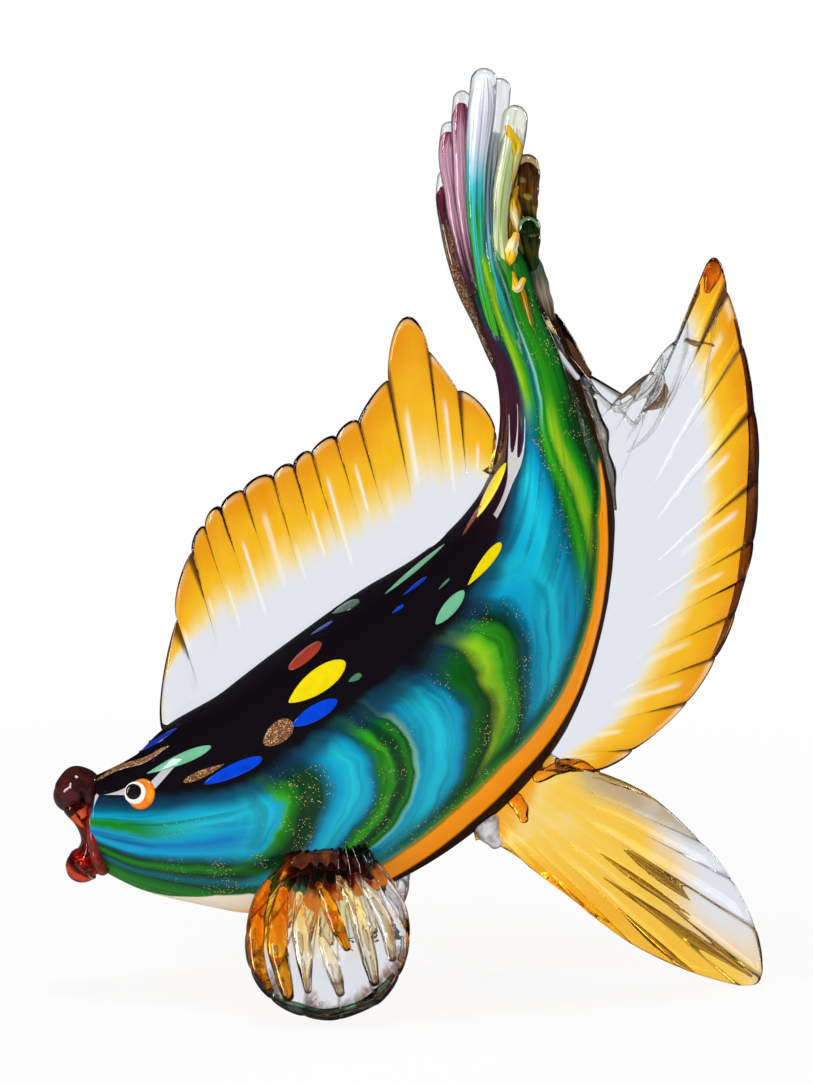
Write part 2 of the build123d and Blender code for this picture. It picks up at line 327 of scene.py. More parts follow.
class Graph:
    """The nodes of one material or group, added one after the other."""

    def __init__(self, tree: bpy.types.NodeTree) -> None:
        """Takes the tree to add to."""
        self.tree = tree

    def add(self, kind: str, **settings: object) -> bpy.types.Node:
        """Adds a node.

        Args:
            kind: The node's type.
            settings: Its properties.

        Returns:
            The node.
        """
        node = self.tree.nodes.new(kind)
        for key, value in settings.items():
            setattr(node, key, value)
        return node

    def feed(self, socket: Socket, value: Feed) -> None:
        """Links a socket to another, or sets it.

        Args:
            socket: The input.
            value: A socket, a number, or a colour or vector.
        """
        if isinstance(value, Socket):
            self.tree.links.new(value, socket)
        elif socket.type == "RGBA":
            socket.default_value = (*value[:3], 1) if isinstance(value, tuple) else (value, value, value, 1)
        else:
            socket.default_value = value

    def maths(self, operation: str, *values: Feed, clamp: bool = False) -> Socket:
        """One sum on numbers.

        Args:
            operation: The Math node's operation.
            values: Its inputs.
            clamp: Whether the result is kept from 0 to 1.

        Returns:
            The result.
        """
        node = self.add("ShaderNodeMath", operation=operation, use_clamp=clamp)
        for socket, value in zip(node.inputs, values):
            self.feed(socket, value)
        return node.outputs[0]

    def mix(self, share: Feed, first: Feed, second: Feed, blend: str = "MIX") -> Socket:
        """A mix of two colours.

        Args:
            share: How much of the second.
            first: The first colour.
            second: The second colour.
            blend: How they are blended.

        Returns:
            The colour.
        """
        node = self.add("ShaderNodeMix", data_type="RGBA", blend_type=blend)
        self.feed(node.inputs[0], share)
        self.feed(node.inputs[6], first)
        self.feed(node.inputs[7], second)
        return node.outputs[2]

    def lay(self, under: Feed, over: Feed, share: Feed, most: float, blend: str = "MIX") -> Socket:
        """A colour laid over another where a share says so, and at most so much."""
        return self.mix(self.times(share, most), under, over, blend)

    def mark(self, label: str) -> Socket:
        """A number marked on the mesh's points."""
        return self.add("ShaderNodeAttribute", attribute_name=label).outputs["Fac"]

    def times(self, *values: Feed, clamp: bool = False) -> Socket:
        """One number times another."""
        return self.maths("MULTIPLY", *values, clamp=clamp)

    def plus(self, first: Feed, second: Feed) -> Socket:
        """The sum of two numbers."""
        return self.maths("ADD", first, second)

    def less(self, first: Feed, second: Feed) -> Socket:
        """One number less another."""
        return self.maths("SUBTRACT", first, second)

    def rest(self, share: Feed) -> Socket:
        """What a share leaves of 1."""
        return self.less(1.0, share)

    def times_plus(self, first: Feed, second: Feed, third: Feed) -> Socket:
        """One number times another, plus a third."""
        return self.maths("MULTIPLY_ADD", first, second, third)

    def larger(self, first: Feed, second: Feed) -> Socket:
        """The larger of two numbers."""
        return self.maths("MAXIMUM", first, second)

    def step(self, value: Feed, low: float, high: float) -> Socket:
        """A step from 0 at low to 1 at high, smooth at both ends.

        Args:
            value: What is looked up.
            low: Where it starts.
            high: Where it ends.

        Returns:
            The step.
        """
        node = self.add("ShaderNodeMapRange", interpolation_type="SMOOTHSTEP")
        for label, number in (("Value", value), ("From Min", low), ("From Max", high)):
            self.feed(node.inputs[label], number)
        return node.outputs[0]

    def ramp(self, value: Feed, stops: Stops) -> Socket:
        """A colour looked up along a ramp of places and their colours.

        Args:
            value: What is looked up.
            stops: The places and their colours.

        Returns:
            The colour.
        """
        node = self.add("ShaderNodeValToRGB")
        elements = node.color_ramp.elements
        while len(elements) < len(stops):
            elements.new(1.0)
        for element, (place, colour) in zip(elements, stops):
            element.position = place
            element.color = (*colour, 1)
        self.feed(node.inputs[0], value)
        return node.outputs[0]

    def vector(self, x: Feed, y: Feed, z: Feed = 0.0) -> Socket:
        """A vector of three numbers.

        Args:
            x: The first number.
            y: The second number.
            z: The third number.

        Returns:
            The vector.
        """
        node = self.add("ShaderNodeCombineXYZ")
        for socket, value in zip(node.inputs, (x, y, z)):
            self.feed(socket, value)
        return node.outputs[0]

    def place(self) -> Socket:
        """The point's place on the object."""
        return self.add("ShaderNodeTexCoord").outputs["Object"]

    def drawn_place(self, stretch: float) -> Socket:
        """A place on a drawn rod's skin, its length as short as makes noise run out along it.

        Args:
            stretch: How long the rod is there.

        Returns:
            The place.
        """
        ring = self.times(self.mark("around"), FULL_TURN)
        along = self.times(self.mark("along"), stretch)
        return self.vector(self.maths("COSINE", ring), self.maths("SINE", ring), along)

    def noise(
        self, where: Feed, scale: Feed, detail: float = 2.0, rough: float = 0.5, twist: float = 0.0
    ) -> Socket:
        """Smooth noise from 0 to 1.

        Args:
            where: The place to look it up.
            scale: Its scale.
            detail: How many finer layers it has.
            rough: How strong they are.
            twist: How much it is distorted.

        Returns:
            The noise.
        """
        node = self.add("ShaderNodeTexNoise")
        labels = ("Vector", "Scale", "Detail", "Roughness", "Distortion")
        for label, value in zip(labels, (where, scale, detail, rough, twist)):
            self.feed(node.inputs[label], value)
        return node.outputs[0]

    def facing(self) -> Socket:
        """How far the surface turns away from the view."""
        return self.add("ShaderNodeLayerWeight").outputs["Facing"]

    def bump(self, height: Feed, strength: float, distance: float) -> Socket:
        """A normal with fine relief.

        Args:
            height: The relief's height.
            strength: How much of it shows.
            distance: How high 1 is, in metres.

        Returns:
            The normal.
        """
        node = self.add("ShaderNodeBump")
        node.inputs["Strength"].default_value = strength
        node.inputs["Distance"].default_value = distance
        self.feed(node.inputs["Height"], height)
        return node.outputs[0]

    def use(self, group: bpy.types.NodeTree, **values: Feed) -> dict[str, Socket]:
        """Places a group.

        Args:
            group: The group.
            values: Its inputs, by name, with spaces as underscores.

        Returns:
            Its outputs by name.
        """
        node = self.add("ShaderNodeGroup", node_tree=group)
        for key, value in values.items():
            self.feed(node.inputs[key.replace("_", " ")], value)
        return {socket.name: socket for socket in node.outputs}


def begin_group(
    name: str, inputs: Sequence[tuple[str, str]], outputs: Sequence[tuple[str, str]]
) -> tuple[bpy.types.NodeTree, Graph, dict[str, Socket], bpy.types.Node]:
    """Starts a shader node group.

    Args:
        name: The group's name.
        inputs: Each input's name and kind.
        outputs: Each output's name and kind.

    Returns:
        The group, its graph, its inputs by name, and its output node.
    """
    tree = bpy.data.node_groups.new(name, "ShaderNodeTree")
    for way, sockets in (("INPUT", inputs), ("OUTPUT", outputs)):
        for label, kind in sockets:
            tree.interface.new_socket(label, in_out=way, socket_type=kind)
    graph = Graph(tree)
    given = {socket.name: socket for socket in graph.add("NodeGroupInput").outputs}
    return tree, graph, given, graph.add("NodeGroupOutput")


NUMBER, PLACE, PAINT = "NodeSocketFloat", "NodeSocketVector", "NodeSocketColor"
FLAKE_SIZE = 0.36
GLASS_IOR = 1.5
SKIN_IOR = 1.52
SKIN_ROUGHNESS = 0.015


class Effects:
    """The effects that several finishes share, each a node group built once."""

    @staticmethod
    @cache
    def glitter() -> bpy.types.NodeTree:
        """Fine metal flakes sealed in the glass: a mask, and a colour that changes from flake to flake, the brighter
        flakes painted glints.

        Returns:
            The group.
        """
        inputs = [("Place", PLACE), ("Scale", NUMBER), ("Amount", NUMBER)]
        tree, g, given, out = begin_group("Glitter", inputs, [("Mask", NUMBER), ("Colour", PAINT)])
        cells = g.add("ShaderNodeTexVoronoi", feature="F1")
        g.feed(cells.inputs["Vector"], given["Place"])
        g.feed(cells.inputs["Scale"], given["Scale"])
        split = g.add("ShaderNodeSeparateColor")
        g.feed(split.inputs[0], cells.outputs["Color"])
        chosen = g.maths("LESS_THAN", split.outputs[0], given["Amount"])
        core = g.maths("LESS_THAN", cells.outputs["Distance"], FLAKE_SIZE)
        g.feed(out.inputs["Mask"], g.times(chosen, core))
        # The flakes are real metal; their brightness from dark copper to near white is painted glint
        flakes = [(0.0, (0.3, 0.17, 0.05)), (0.5, (0.75, 0.5, 0.16)), (1.0, (1.0, 0.86, 0.5))]
        g.feed(out.inputs["Colour"], g.ramp(split.outputs[1], flakes))
        return tree

    @staticmethod
    @cache
    def streaks() -> bpy.types.NodeTree:
        """Drawn-out threads of colour: noise over two marks, each stretched by a number of its own.

        Returns:
            The group.
        """
        inputs = [(label, NUMBER) for label in ("Along", "Across", "Length", "Fineness")]
        tree, g, given, out = begin_group("Streaks", inputs, [("Value", NUMBER)])
        x, y = g.times(given["Along"], given["Length"]), g.times(given["Across"], given["Fineness"])
        g.feed(out.inputs["Value"], g.noise(g.vector(x, y), 1.0, 3.0, 0.55, 0.6))
        return tree

    @staticmethod
    @cache
    def fire_polish() -> bpy.types.NodeTree:
        """The slow unevenness of fire-polished glass, as a height.

        Returns:
            The group.
        """
        inputs = [("Place", PLACE), ("Scale", NUMBER)]
        tree, g, given, out = begin_group("Fire polish", inputs, [("Height", NUMBER)])
        slow = g.noise(given["Place"], given["Scale"], 1.0)
        fine = g.noise(given["Place"], g.times(given["Scale"], 5.0), 1.0)
        g.feed(out.inputs["Height"], g.times_plus(fine, 0.12, slow))
        return tree


class Finish:
    """A finish, whose material is made once."""

    name: str

    def material(self) -> bpy.types.Material:
        """The finish's material.

        Returns:
            The material.
        """
        found = bpy.data.materials.get(self.name)
        if found is None:
            found = bpy.data.materials.new(self.name)
            found.use_nodes = True
            found.node_tree.nodes.clear()
            graph = Graph(found.node_tree)
            shader = self.shade(graph)
            graph.feed(graph.add("ShaderNodeOutputMaterial").inputs["Surface"], shader)
        return found

    def shade(self, g: Graph) -> Socket:
        """Makes the finish's nodes and returns its shader."""
        raise NotImplementedError

    def dress(self, piece: Piece) -> Piece:
        """Gives a piece this finish alone, and returns it.

        Args:
            piece: The piece.

        Returns:
            The same piece.
        """
        piece.data.materials.clear()
        piece.data.materials.append(self.material())
        return piece


def solid_shader(
    g: Graph, colour: Feed, roughness: Feed, normal: Feed | None = None, coat: Feed = 1.0
) -> Socket:
    """Coloured glass that lets no light through, under a clear glossy skin.

    Args:
        g: The material's graph.
        colour: Its colour.
        roughness: The roughness under the skin.
        normal: Its normal, if it has relief.
        coat: How much of the clear skin.

    Returns:
        The shader.
    """
    shader = g.add("ShaderNodeBsdfPrincipled")
    g.feed(shader.inputs["Base Color"], colour)
    g.feed(shader.inputs["Roughness"], roughness)
    g.feed(shader.inputs["Coat Weight"], coat)
    shader.inputs["Coat Roughness"].default_value = SKIN_ROUGHNESS
    shader.inputs["Coat IOR"].default_value = SKIN_IOR
    shader.inputs["Specular IOR Level"].default_value = 0.0
    if normal is not None:
        g.feed(shader.inputs["Normal"], normal)
    return shader.outputs[0]


def clear_shader(g: Graph, colour: Feed, normal: Feed) -> Socket:
    """Glass that tints what is seen through it, and lets the lamps' light through.

    Args:
        g: The material's graph.
        colour: The tint of both its faces together.
        normal: Its normal.

    Returns:
        The shader.
    """
    shader = g.add("ShaderNodeBsdfPrincipled")
    g.feed(shader.inputs["Base Color"], colour)
    shader.inputs["Roughness"].default_value = 0.0
    shader.inputs["IOR"].default_value = GLASS_IOR
    shader.inputs["Transmission Weight"].default_value = 1.0
    g.feed(shader.inputs["Normal"], normal)
    passing = g.add("ShaderNodeBsdfTransparent")
    g.feed(passing.inputs["Color"], colour)
    mixed = g.add("ShaderNodeMixShader")
    g.feed(mixed.inputs[0], g.add("ShaderNodeLightPath").outputs["Is Shadow Ray"])
    g.feed(mixed.inputs[1], shader.outputs[0])
    g.feed(mixed.inputs[2], passing.outputs[0])
    return mixed.outputs[0]


def polished(g: Graph, scale: float, strength: float, height: float) -> Socket:
    """The normal of fire-polished glass, by how close, how strong and how high its waves are."""
    return g.bump(g.use(Effects.fire_polish(), Place=g.place(), Scale=scale)["Height"], strength, height)


@dataclass(frozen=True)
class FinGlass(Finish):
    """Clear glass that turns amber toward a fin's rim, with painted brown shade in its grooves and edges and a painted
    highlight down each lobe.
    """

    name: str = "amber fin glass"
    clear: Colour = (0.8, 0.82, 0.88)
    pale: Colour = (0.97, 0.78, 0.28)
    amber: Colour = (0.96, 0.52, 0.016)
    deep: Colour = (0.82, 0.27, 0.003)
    # The next two colour the painted shade at the edges and in the grooves: brown in the amber, grey in the clear
    # glass
    brown: Colour = (0.075, 0.022, 0.004)
    grey_shade: Colour = (0.12, 0.11, 0.1)
    light: Colour = (0.96, 0.86, 0.58)
    # The painted highlight down each lobe: its colour here, its strength in gleam
    glint: Colour = (1.0, 0.985, 0.94)
    ragged: float = 0.42
    gleam: float = 0.95
    # How strongly the painted shade darkens where the glass turns away, and in the grooves and along the rim
    edges: float = 0.95
    crease_shade: float = 0.93
    polish: tuple[float, float, float] = (60.0, 0.35, 0.0012)

    def gleaming(self, g: Graph, colour: Feed) -> Socket:
        """A colour, with a painted highlight where each lobe would gather light as a lens does."""
        return g.lay(colour, self.glint, g.mark("lens"), self.gleam)

    def finished(self, g: Graph, colour: Feed, edge: Feed, groove: Feed) -> Socket:
        """The fin's shader, with painted shade where it turns away, in its grooves and along its rim.

        Args:
            g: The material's graph.
            colour: The colour of its faces.
            edge: The colour of the painted shade where it turns away.
            groove: The colour of the painted shade in the grooves and along the rim.

        Returns:
            The shader.
        """
        # Painted shade: darker where the glass turns away from the view, and along the grooves and the rim marked on
        # the mesh
        colour = g.lay(colour, edge, g.step(g.facing(), 0.3, 0.9), self.edges)
        colour = g.mix(g.times(g.mark("groove"), self.crease_shade, clamp=True), colour, groove)
        return clear_shader(g, colour, polished(g, *self.polish))

    def shade(self, g: Graph) -> Socket:
        """Makes the nodes: reach is 0 at the amber's inner edge and 1 at the rim.

        Args:
            g: The material's graph.

        Returns:
            The shader.
        """
        reach, across = g.mark("reach"), g.mark("across")
        thread = g.use(Effects.streaks(), Along=reach, Across=across, Length=1.1, Fineness=2.1)["Value"]
        cloud = g.noise(g.place(), 55.0, 3.0, 0.6)
        wander = g.plus(g.times(thread, 0.75), g.times(cloud, 0.45))
        edge = g.plus(reach, g.times(g.less(wander, 0.6), self.ragged))
        tinted = g.step(edge, -0.16, 0.18)
        strong = g.step(g.times_plus(cloud, 0.5, edge), 0.6, 1.3)
        colour = g.mix(tinted, self.clear, self.pale)
        colour = g.mix(g.step(edge, -0.02, 0.4), colour, self.amber)
        colour = g.lay(colour, self.deep, strong, 0.85)
        colour = g.lay(colour, self.light, g.mark("cased"), 0.75)
        # The painted shade's colour for the edges and grooves: grey in the clear glass, brown in the amber
        outline_shade = g.mix(tinted, self.grey_shade, self.brown)
        return self.finished(g, self.gleaming(g, colour), outline_shade, outline_shade)


@dataclass(frozen=True)
class LeafGlass(FinGlass):
    """The pelvic fin's glass: golden, orange along the lower edge, clear behind and smoky along the top."""

    name: str = "golden fin glass"
    gold: Colour = (0.97, 0.61, 0.075)
    honey: Colour = (0.93, 0.4, 0.01)
    haze: Colour = (0.5, 0.4, 0.27)
    gleam: float = 0.25
    crease_shade: float = 0.55

    def shade(self, g: Graph) -> Socket:
        """Makes the nodes: across runs from the lower edge round the tip and back along the top.

        Args:
            g: The material's graph.

        Returns:
            The shader.
        """
        cloud = g.noise(g.place(), 48.0, 3.0, 0.55, 0.5)
        rag = g.less(cloud, 0.5)
        past = g.times_plus(rag, 2.4, g.mark("across"))
        out = g.times_plus(rag, 0.5, g.mark("reach"))
        colour = g.mix(g.step(out, -0.02, 0.18), self.pale, self.gold)
        low = g.rest(g.step(past, 2.0, 5.6))
        colour = g.mix(g.times(low, g.step(out, 0.05, 0.7)), colour, self.honey)
        colour = g.mix(g.rest(g.step(out, -0.06, 0.1)), colour, self.honey)
        behind = g.times(g.step(past, 5.2, 7.2), g.rest(g.step(past, 8.9, 10.2)))
        colour = g.mix(g.times(behind, g.step(out, 0.52, 0.84)), colour, self.clear)
        top = g.times(g.step(past, 8.3, 9.6), g.step(out, 0.1, 0.46))
        smoky = g.mix(g.step(cloud, 0.55, 0.75), self.haze, self.clear)
        colour = g.lay(colour, smoky, top, 0.9)
        # The painted shade's colour for the edges and grooves: grey in the clear glass behind, brown elsewhere
        outline_shade = g.mix(g.times(behind, g.step(out, 0.45, 0.6)), self.brown, self.grey_shade)
        return self.finished(g, self.gleaming(g, colour), outline_shade, outline_shade)


@dataclass(frozen=True)
class PaddleGlass(FinGlass):
    """The pectoral fins' glass: red-brown at the root, amber in front, clear behind, dark green in the rim."""

    name: str = "paddle fin glass"
    root: Colour = (0.105, 0.014, 0.005)
    front: Colour = (0.84, 0.34, 0.012)
    tan: Colour = (0.36, 0.2, 0.08)
    rust: Colour = (0.16, 0.055, 0.012)
    teal: Colour = (0.015, 0.085, 0.065)
    gleam: float = 0.8
    crease_shade: float = 0.8
    polish: tuple[float, float, float] = (90.0, 0.5, 0.0012)

    def shade(self, g: Graph) -> Socket:
        """Makes the nodes: across runs from the front edge round the bottom to the back edge.

        Args:
            g: The material's graph.

        Returns:
            The shader.
        """
        reach, across = g.mark("reach"), g.mark("across")
        cloud = g.noise(g.vector(g.times(across, 0.9), g.times(reach, 2.6)), 1.0, 3.0, 0.6, 0.8)
        speck = g.noise(g.place(), 240.0, 3.0, 0.6, 0.6)
        rag = g.less(cloud, 0.5)
        past = g.times_plus(rag, 2.6, across)
        out = g.times_plus(rag, 0.6, reach)
        ahead = g.rest(g.step(past, 2.6, 3.8))
        middle = g.times(g.rest(g.step(out, 0.34, 0.7)), g.rest(g.step(past, 6.6, 8.2)))
        colour = g.mix(g.times(middle, 0.9), self.clear, self.pale)
        colour = g.mix(ahead, colour, g.mix(g.step(out, 0.25, 0.75), self.front, self.amber))
        rear = g.times(g.step(past, 8.6, 9.8), g.step(cloud, 0.6, 0.44))
        colour = g.lay(colour, self.tan, rear, 0.7)
        rim = g.times(g.step(out, 0.84, 0.97), g.step(speck, 0.42, 0.5))
        colour = g.lay(colour, g.mix(g.step(cloud, 0.46, 0.56), self.teal, self.rust), rim, 0.9)
        colour = self.gleaming(g, colour)
        colour = g.mix(g.rest(g.step(out, 0.17, 0.27)), colour, self.root)
        # Painted shade: brown where it turns away; in the grooves brown in front and grey behind
        return self.finished(g, colour, self.brown, g.mix(ahead, self.grey_shade, self.brown))


@dataclass(frozen=True)
class StreakedGlass(Finish):
    """Clear or tinted glass with threads of a second colour drawn along it."""

    name: str
    tint: Colour
    thread: Colour
    # The colour of the painted shade where the glass turns away from the view
    rim: Colour
    amount: float = 0.5
    fineness: float = 7.0

    def shade(self, g: Graph) -> Socket:
        """Makes the nodes from the marks along and around.

        Args:
            g: The material's graph.

        Returns:
            The shader.
        """
        drawn = g.noise(g.drawn_place(1.6), self.fineness / 4, 2.0, 0.5, 0.4)
        colour = g.mix(g.times(g.step(drawn, 0.48, 0.6), self.amount), self.tint, self.thread)
        # Painted shade: darker where the surface turns away from the view
        colour = g.lay(colour, self.rim, g.step(g.facing(), 0.24, 0.8), 0.92)
        return clear_shader(g, colour, polished(g, 150.0, 0.4, 0.001))


@dataclass(frozen=True)
class CoreGlass(Finish):
    """Dense colours drawn out along a rod inside clear glass, changing from the tip down."""

    name: str
    colours: Stops
    threads: Stops
    amount: float = 0.9
    fineness: float = 2.6
    flakes: float = 0.0
    shadow: Colour = (0.03, 0.05, 0.05)

    def shade(self, g: Graph) -> Socket:
        """Makes the nodes from the marks along and around.

        Args:
            g: The material's graph.

        Returns:
            The shader.
        """
        where = g.drawn_place(0.5)
        drawn = g.noise(where, self.fineness, 3.0, 0.6, 0.3)
        broad = g.less(g.noise(where, self.fineness * 0.7), 0.5)
        at = g.plus(g.mark("along"), g.times(broad, 0.45))
        share = g.times(g.step(drawn, 0.45, 0.53), self.amount)
        colour = g.mix(share, g.ramp(at, self.colours), g.ramp(at, self.threads))
        dark = g.step(g.noise(where, self.fineness * 1.6, 2.0, 0.5, 0.2), 0.5, 0.38)
        colour = g.lay(colour, self.shadow, dark, 0.55, "MULTIPLY")
        if self.flakes:
            flakes = g.use(Effects.glitter(), Place=g.place(), Scale=3400.0, Amount=self.flakes)
            colour = g.mix(g.times(flakes["Mask"], g.step(at, 0.14, 0.26)), colour, flakes["Colour"])
        return solid_shader(g, colour, g.times_plus(drawn, 0.2, 0.35), coat=0.0)


@dataclass(frozen=True)
class ChipGlass(Finish):
    """A colour chip melted flat into the skin of the body."""

    name: str
    colour: Colour
    shade_colour: Colour
    flakes: float = 0.0
    untoned: Colour = (0.006, 0.007, 0.008)

    def shade(self, g: Graph) -> Socket:
        """Makes the nodes: softly clouded colour, with metal flakes in some.

        Args:
            g: The material's graph.

        Returns:
            The shader.
        """
        cloud = g.noise(g.place(), 260.0, 3.0, 0.6)
        colour = g.mix(g.times(g.step(cloud, 0.4, 0.75), 0.45), self.colour, self.shade_colour)
        colour = g.lay(colour, self.shade_colour, g.step(g.mark("edge"), 0.86, 1.0), 0.25)
        colour = g.mix(g.mark("tone"), self.untoned, colour)
        if self.flakes:
            flakes = g.use(Effects.glitter(), Place=g.place(), Scale=3000.0, Amount=self.flakes)
            colour = g.mix(flakes["Mask"], colour, flakes["Colour"])
        return solid_shader(g, colour, g.times_plus(cloud, 0.2, 0.3))


@dataclass(frozen=True)
class BodyGlass(Finish):
    """The blown body's colours, sealed under clear glass."""

    name: str = "body colour glass"
    black: Colour = (0.0035, 0.0025, 0.004)
    purple: Colour = (0.03, 0.006, 0.016)
    navy: Colour = (0.004, 0.02, 0.05)
    cyan: Colour = (0.003, 0.26, 0.43)
    sky: Colour = (0.01, 0.44, 0.56)
    blue: Colour = (0.002, 0.13, 0.33)
    teal: Colour = (0.002, 0.095, 0.14)
    green: Colour = (0.006, 0.16, 0.008)
    bright_green: Colour = (0.03, 0.31, 0.008)
    dark_green: Colour = (0.003, 0.038, 0.008)
    deep_green: Colour = (0.003, 0.075, 0.016)
    lime: Colour = (0.26, 0.48, 0.012)
    mint: Colour = (0.18, 0.5, 0.36)
    orange: Colour = (0.98, 0.31, 0.001)
    ivory: Colour = (0.84, 0.78, 0.62)
    keel: Colour = (0.022, 0.009, 0.004)
    copper: Colour = (0.075, 0.026, 0.014)
    mauve: Colour = (0.42, 0.23, 0.31)
    milk: Colour = (0.7, 0.76, 0.8)
    straw: Colour = (0.86, 0.58, 0.15)
    moss: Colour = (0.26, 0.2, 0.004)
    shadow: Colour = (0.05, 0.16, 0.2)
    # Ramps of the head, of the hip's bands, of the stem's foot, of the stem and of its end
    head: Stops = (
        (0.34, navy), (0.4, teal), (0.43, cyan), (0.48, sky), (0.52, cyan), (0.55, blue), (0.59, cyan),
        (0.615, teal), (0.635, dark_green), (0.66, green), (0.685, dark_green), (0.71, teal),
        (0.74, deep_green), (0.8, green),
    )
    bands: Stops = (
        (0.175, cyan), (0.215, sky), (0.228, cyan), (0.235, bright_green), (0.248, green),
        (0.258, dark_green), (0.284, dark_green), (0.294, teal), (0.305, cyan), (0.325, sky), (0.339, cyan),
        (0.347, teal), (0.353, green), (0.365, bright_green), (0.372, dark_green), (0.382, dark_green),
        (0.388, green), (0.396, dark_green), (0.4, mint), (0.407, cyan), (0.44, sky), (0.468, cyan),
        (0.482, teal), (0.495, green), (0.515, dark_green), (0.532, lime), (0.546, bright_green),
        (0.57, dark_green), (0.586, teal), (0.6, cyan), (0.65, sky), (0.68, cyan),
    )
    upper: Stops = (
        (0.26, teal), (0.34, cyan), (0.46, sky), (0.54, cyan), (0.585, teal), (0.61, green),
        (0.64, bright_green), (0.67, green), (0.7, lime), (0.735, lime), (0.765, bright_green),
        (0.8, green), (0.84, dark_green),
    )
    stem: Stops = (
        (0.22, dark_green), (0.31, green), (0.37, lime), (0.41, bright_green), (0.46, teal), (0.485, mint),
        (0.5, green), (0.57, bright_green), (0.66, green), (0.73, dark_green), (0.8, keel),
    )
    fan: Stops = (
        (0.02, copper), (0.1, purple), (0.16, mauve), (0.25, mauve), (0.29, milk), (0.33, green),
        (0.37, sky), (0.42, milk), (0.52, milk), (0.62, straw), (0.75, orange), (0.9, keel),
    )

    def hues(self, g: Graph, swirl: Feed, waver: Feed, band: Feed) -> Socket:
        """The colours from the head to the tail: each stretch of the body has a ramp of its own.

        Args:
            g: The material's graph.
            swirl: Broad unevenness.
            waver: Fine unevenness.
            band: How far along the body's bands.

        Returns:
            The colour.
        """
        along = g.mark("along")
        lengthwise = g.plus(g.mark("around"), g.times(waver, 1.7))
        head = g.ramp(lengthwise, self.head)
        off_leaf = g.maths("ABSOLUTE", g.less(lengthwise, 0.48))
        leaf = g.times(g.step(along, 0.16, 0.04), g.step(off_leaf, 0.062, 0.01))
        head = g.mix(leaf, head, self.green)
        bands = g.ramp(band, self.bands)
        slant = g.plus(g.mark("slant"), g.times(waver, 1.3))
        upper = g.ramp(slant, self.upper)
        stem = g.ramp(lengthwise, self.stem)
        fan = g.ramp(lengthwise, self.fan)
        colour = g.mix(g.step(along, 0.15, 0.215), head, bands)
        colour = g.mix(g.step(g.plus(along, g.times(swirl, 0.05)), 0.6, 0.68), colour, upper)
        colour = g.mix(g.step(along, 0.79, 0.86), colour, stem)
        return g.mix(g.step(g.plus(along, g.times(swirl, 0.08)), 1.0, 1.09), colour, fan)

    def threaded(self, g: Graph, colour: Feed, band: Feed) -> Socket:
        """A colour with threads drawn through it: across the hip's bands, and lengthwise elsewhere.

        Args:
            g: The material's graph.
            colour: The colour so far.
            band: The place across the bands.

        Returns:
            The colour.
        """
        along, around = g.mark("along"), g.mark("around")
        thread = g.use(Effects.streaks(), Along=around, Across=band, Length=2.6, Fineness=30.0)["Value"]
        run = g.use(Effects.streaks(), Along=along, Across=around, Length=5.0, Fineness=26.0)["Value"]
        lengthy = g.larger(g.rest(g.step(along, 0.15, 0.21)), g.step(along, 0.6, 0.68))
        streak = g.mix(lengthy, thread, run)
        colour = g.lay(colour, self.sky, g.step(streak, 0.5, 0.64), 0.5, "SOFT_LIGHT")
        return g.lay(colour, self.shadow, g.step(streak, 0.52, 0.34), 0.52, "MULTIPLY")

    def fringed(self, g: Graph, colour: Feed, swirl: Feed) -> Socket:
        """A colour with the green fringe over the belly band.

        Args:
            g: The material's graph.
            colour: The colour so far.
            swirl: Broad unevenness.

        Returns:
            The colour.
        """
        belly = g.mark("belly")
        drift = g.times_plus(swirl, 0.05, belly)
        fringe = g.times(g.step(drift, -0.08, -0.03), g.step(g.mark("along"), 0.22, 0.34))
        leafy = g.mix(g.step(drift, -0.032, -0.01), self.dark_green, self.green)
        leafy = g.mix(g.step(belly, -0.014, -0.002), leafy, self.moss)
        return g.lay(colour, leafy, fringe, 0.88)

    def flaked(self, g: Graph, colour: Feed) -> Socket:
        """A colour with patches of metal flakes in its dark places.

        Args:
            g: The material's graph.
            colour: The colour so far.

        Returns:
            The colour.
        """
        split = g.add("ShaderNodeSeparateColor", mode="HSV")
        g.feed(split.inputs[0], colour)
        darkness = g.rest(g.step(split.outputs[2], 0.08, 0.4))
        darkness = g.times(darkness, g.step(g.mark("along"), 0.06, 0.14))
        patch = g.step(g.noise(g.place(), 80.0, 3.0, 0.6, 1.2), 0.46, 0.58)
        flakes = g.use(Effects.glitter(), Place=g.place(), Scale=2700.0, Amount=0.17)
        shown = g.times(g.times(flakes["Mask"], darkness), patch)
        return g.lay(colour, flakes["Colour"], shown, 0.9)

    def cased(self, g: Graph, colour: Feed, swirl: Feed, fine: Feed) -> Socket:
        """A colour under the dark back, the orange belly band and the dark keel.

        Args:
            g: The material's graph.
            colour: The colour of the flanks.
            swirl: Broad unevenness.
            fine: Fine unevenness.

        Returns:
            The colour.
        """
        along, belly = g.mark("along"), g.mark("belly")
        rise = g.plus(g.mark("back"), g.plus(g.times(swirl, 0.1), g.times(fine, 0.05)))
        colour = g.lay(colour, self.navy, g.step(rise, -0.085, -0.015), 0.85)
        dark = g.mix(g.step(along, 0.62, 0.86), self.black, self.purple)
        colour = g.mix(g.step(rise, -0.02, 0.03), colour, dark)
        chin = g.step(g.times_plus(belly, 0.5, along), 0.27, 0.19)
        warm = g.mix(g.step(belly, 0.1, 0.2), self.ivory, self.straw)
        banded = g.step(g.times_plus(fine, 0.02, belly), 0.0, 0.012)
        colour = g.mix(banded, colour, g.mix(chin, self.orange, warm))
        return g.mix(g.times(g.step(g.mark("keel"), 0.0, 0.02), g.step(along, 0.16, 0.3)), colour, self.keel)

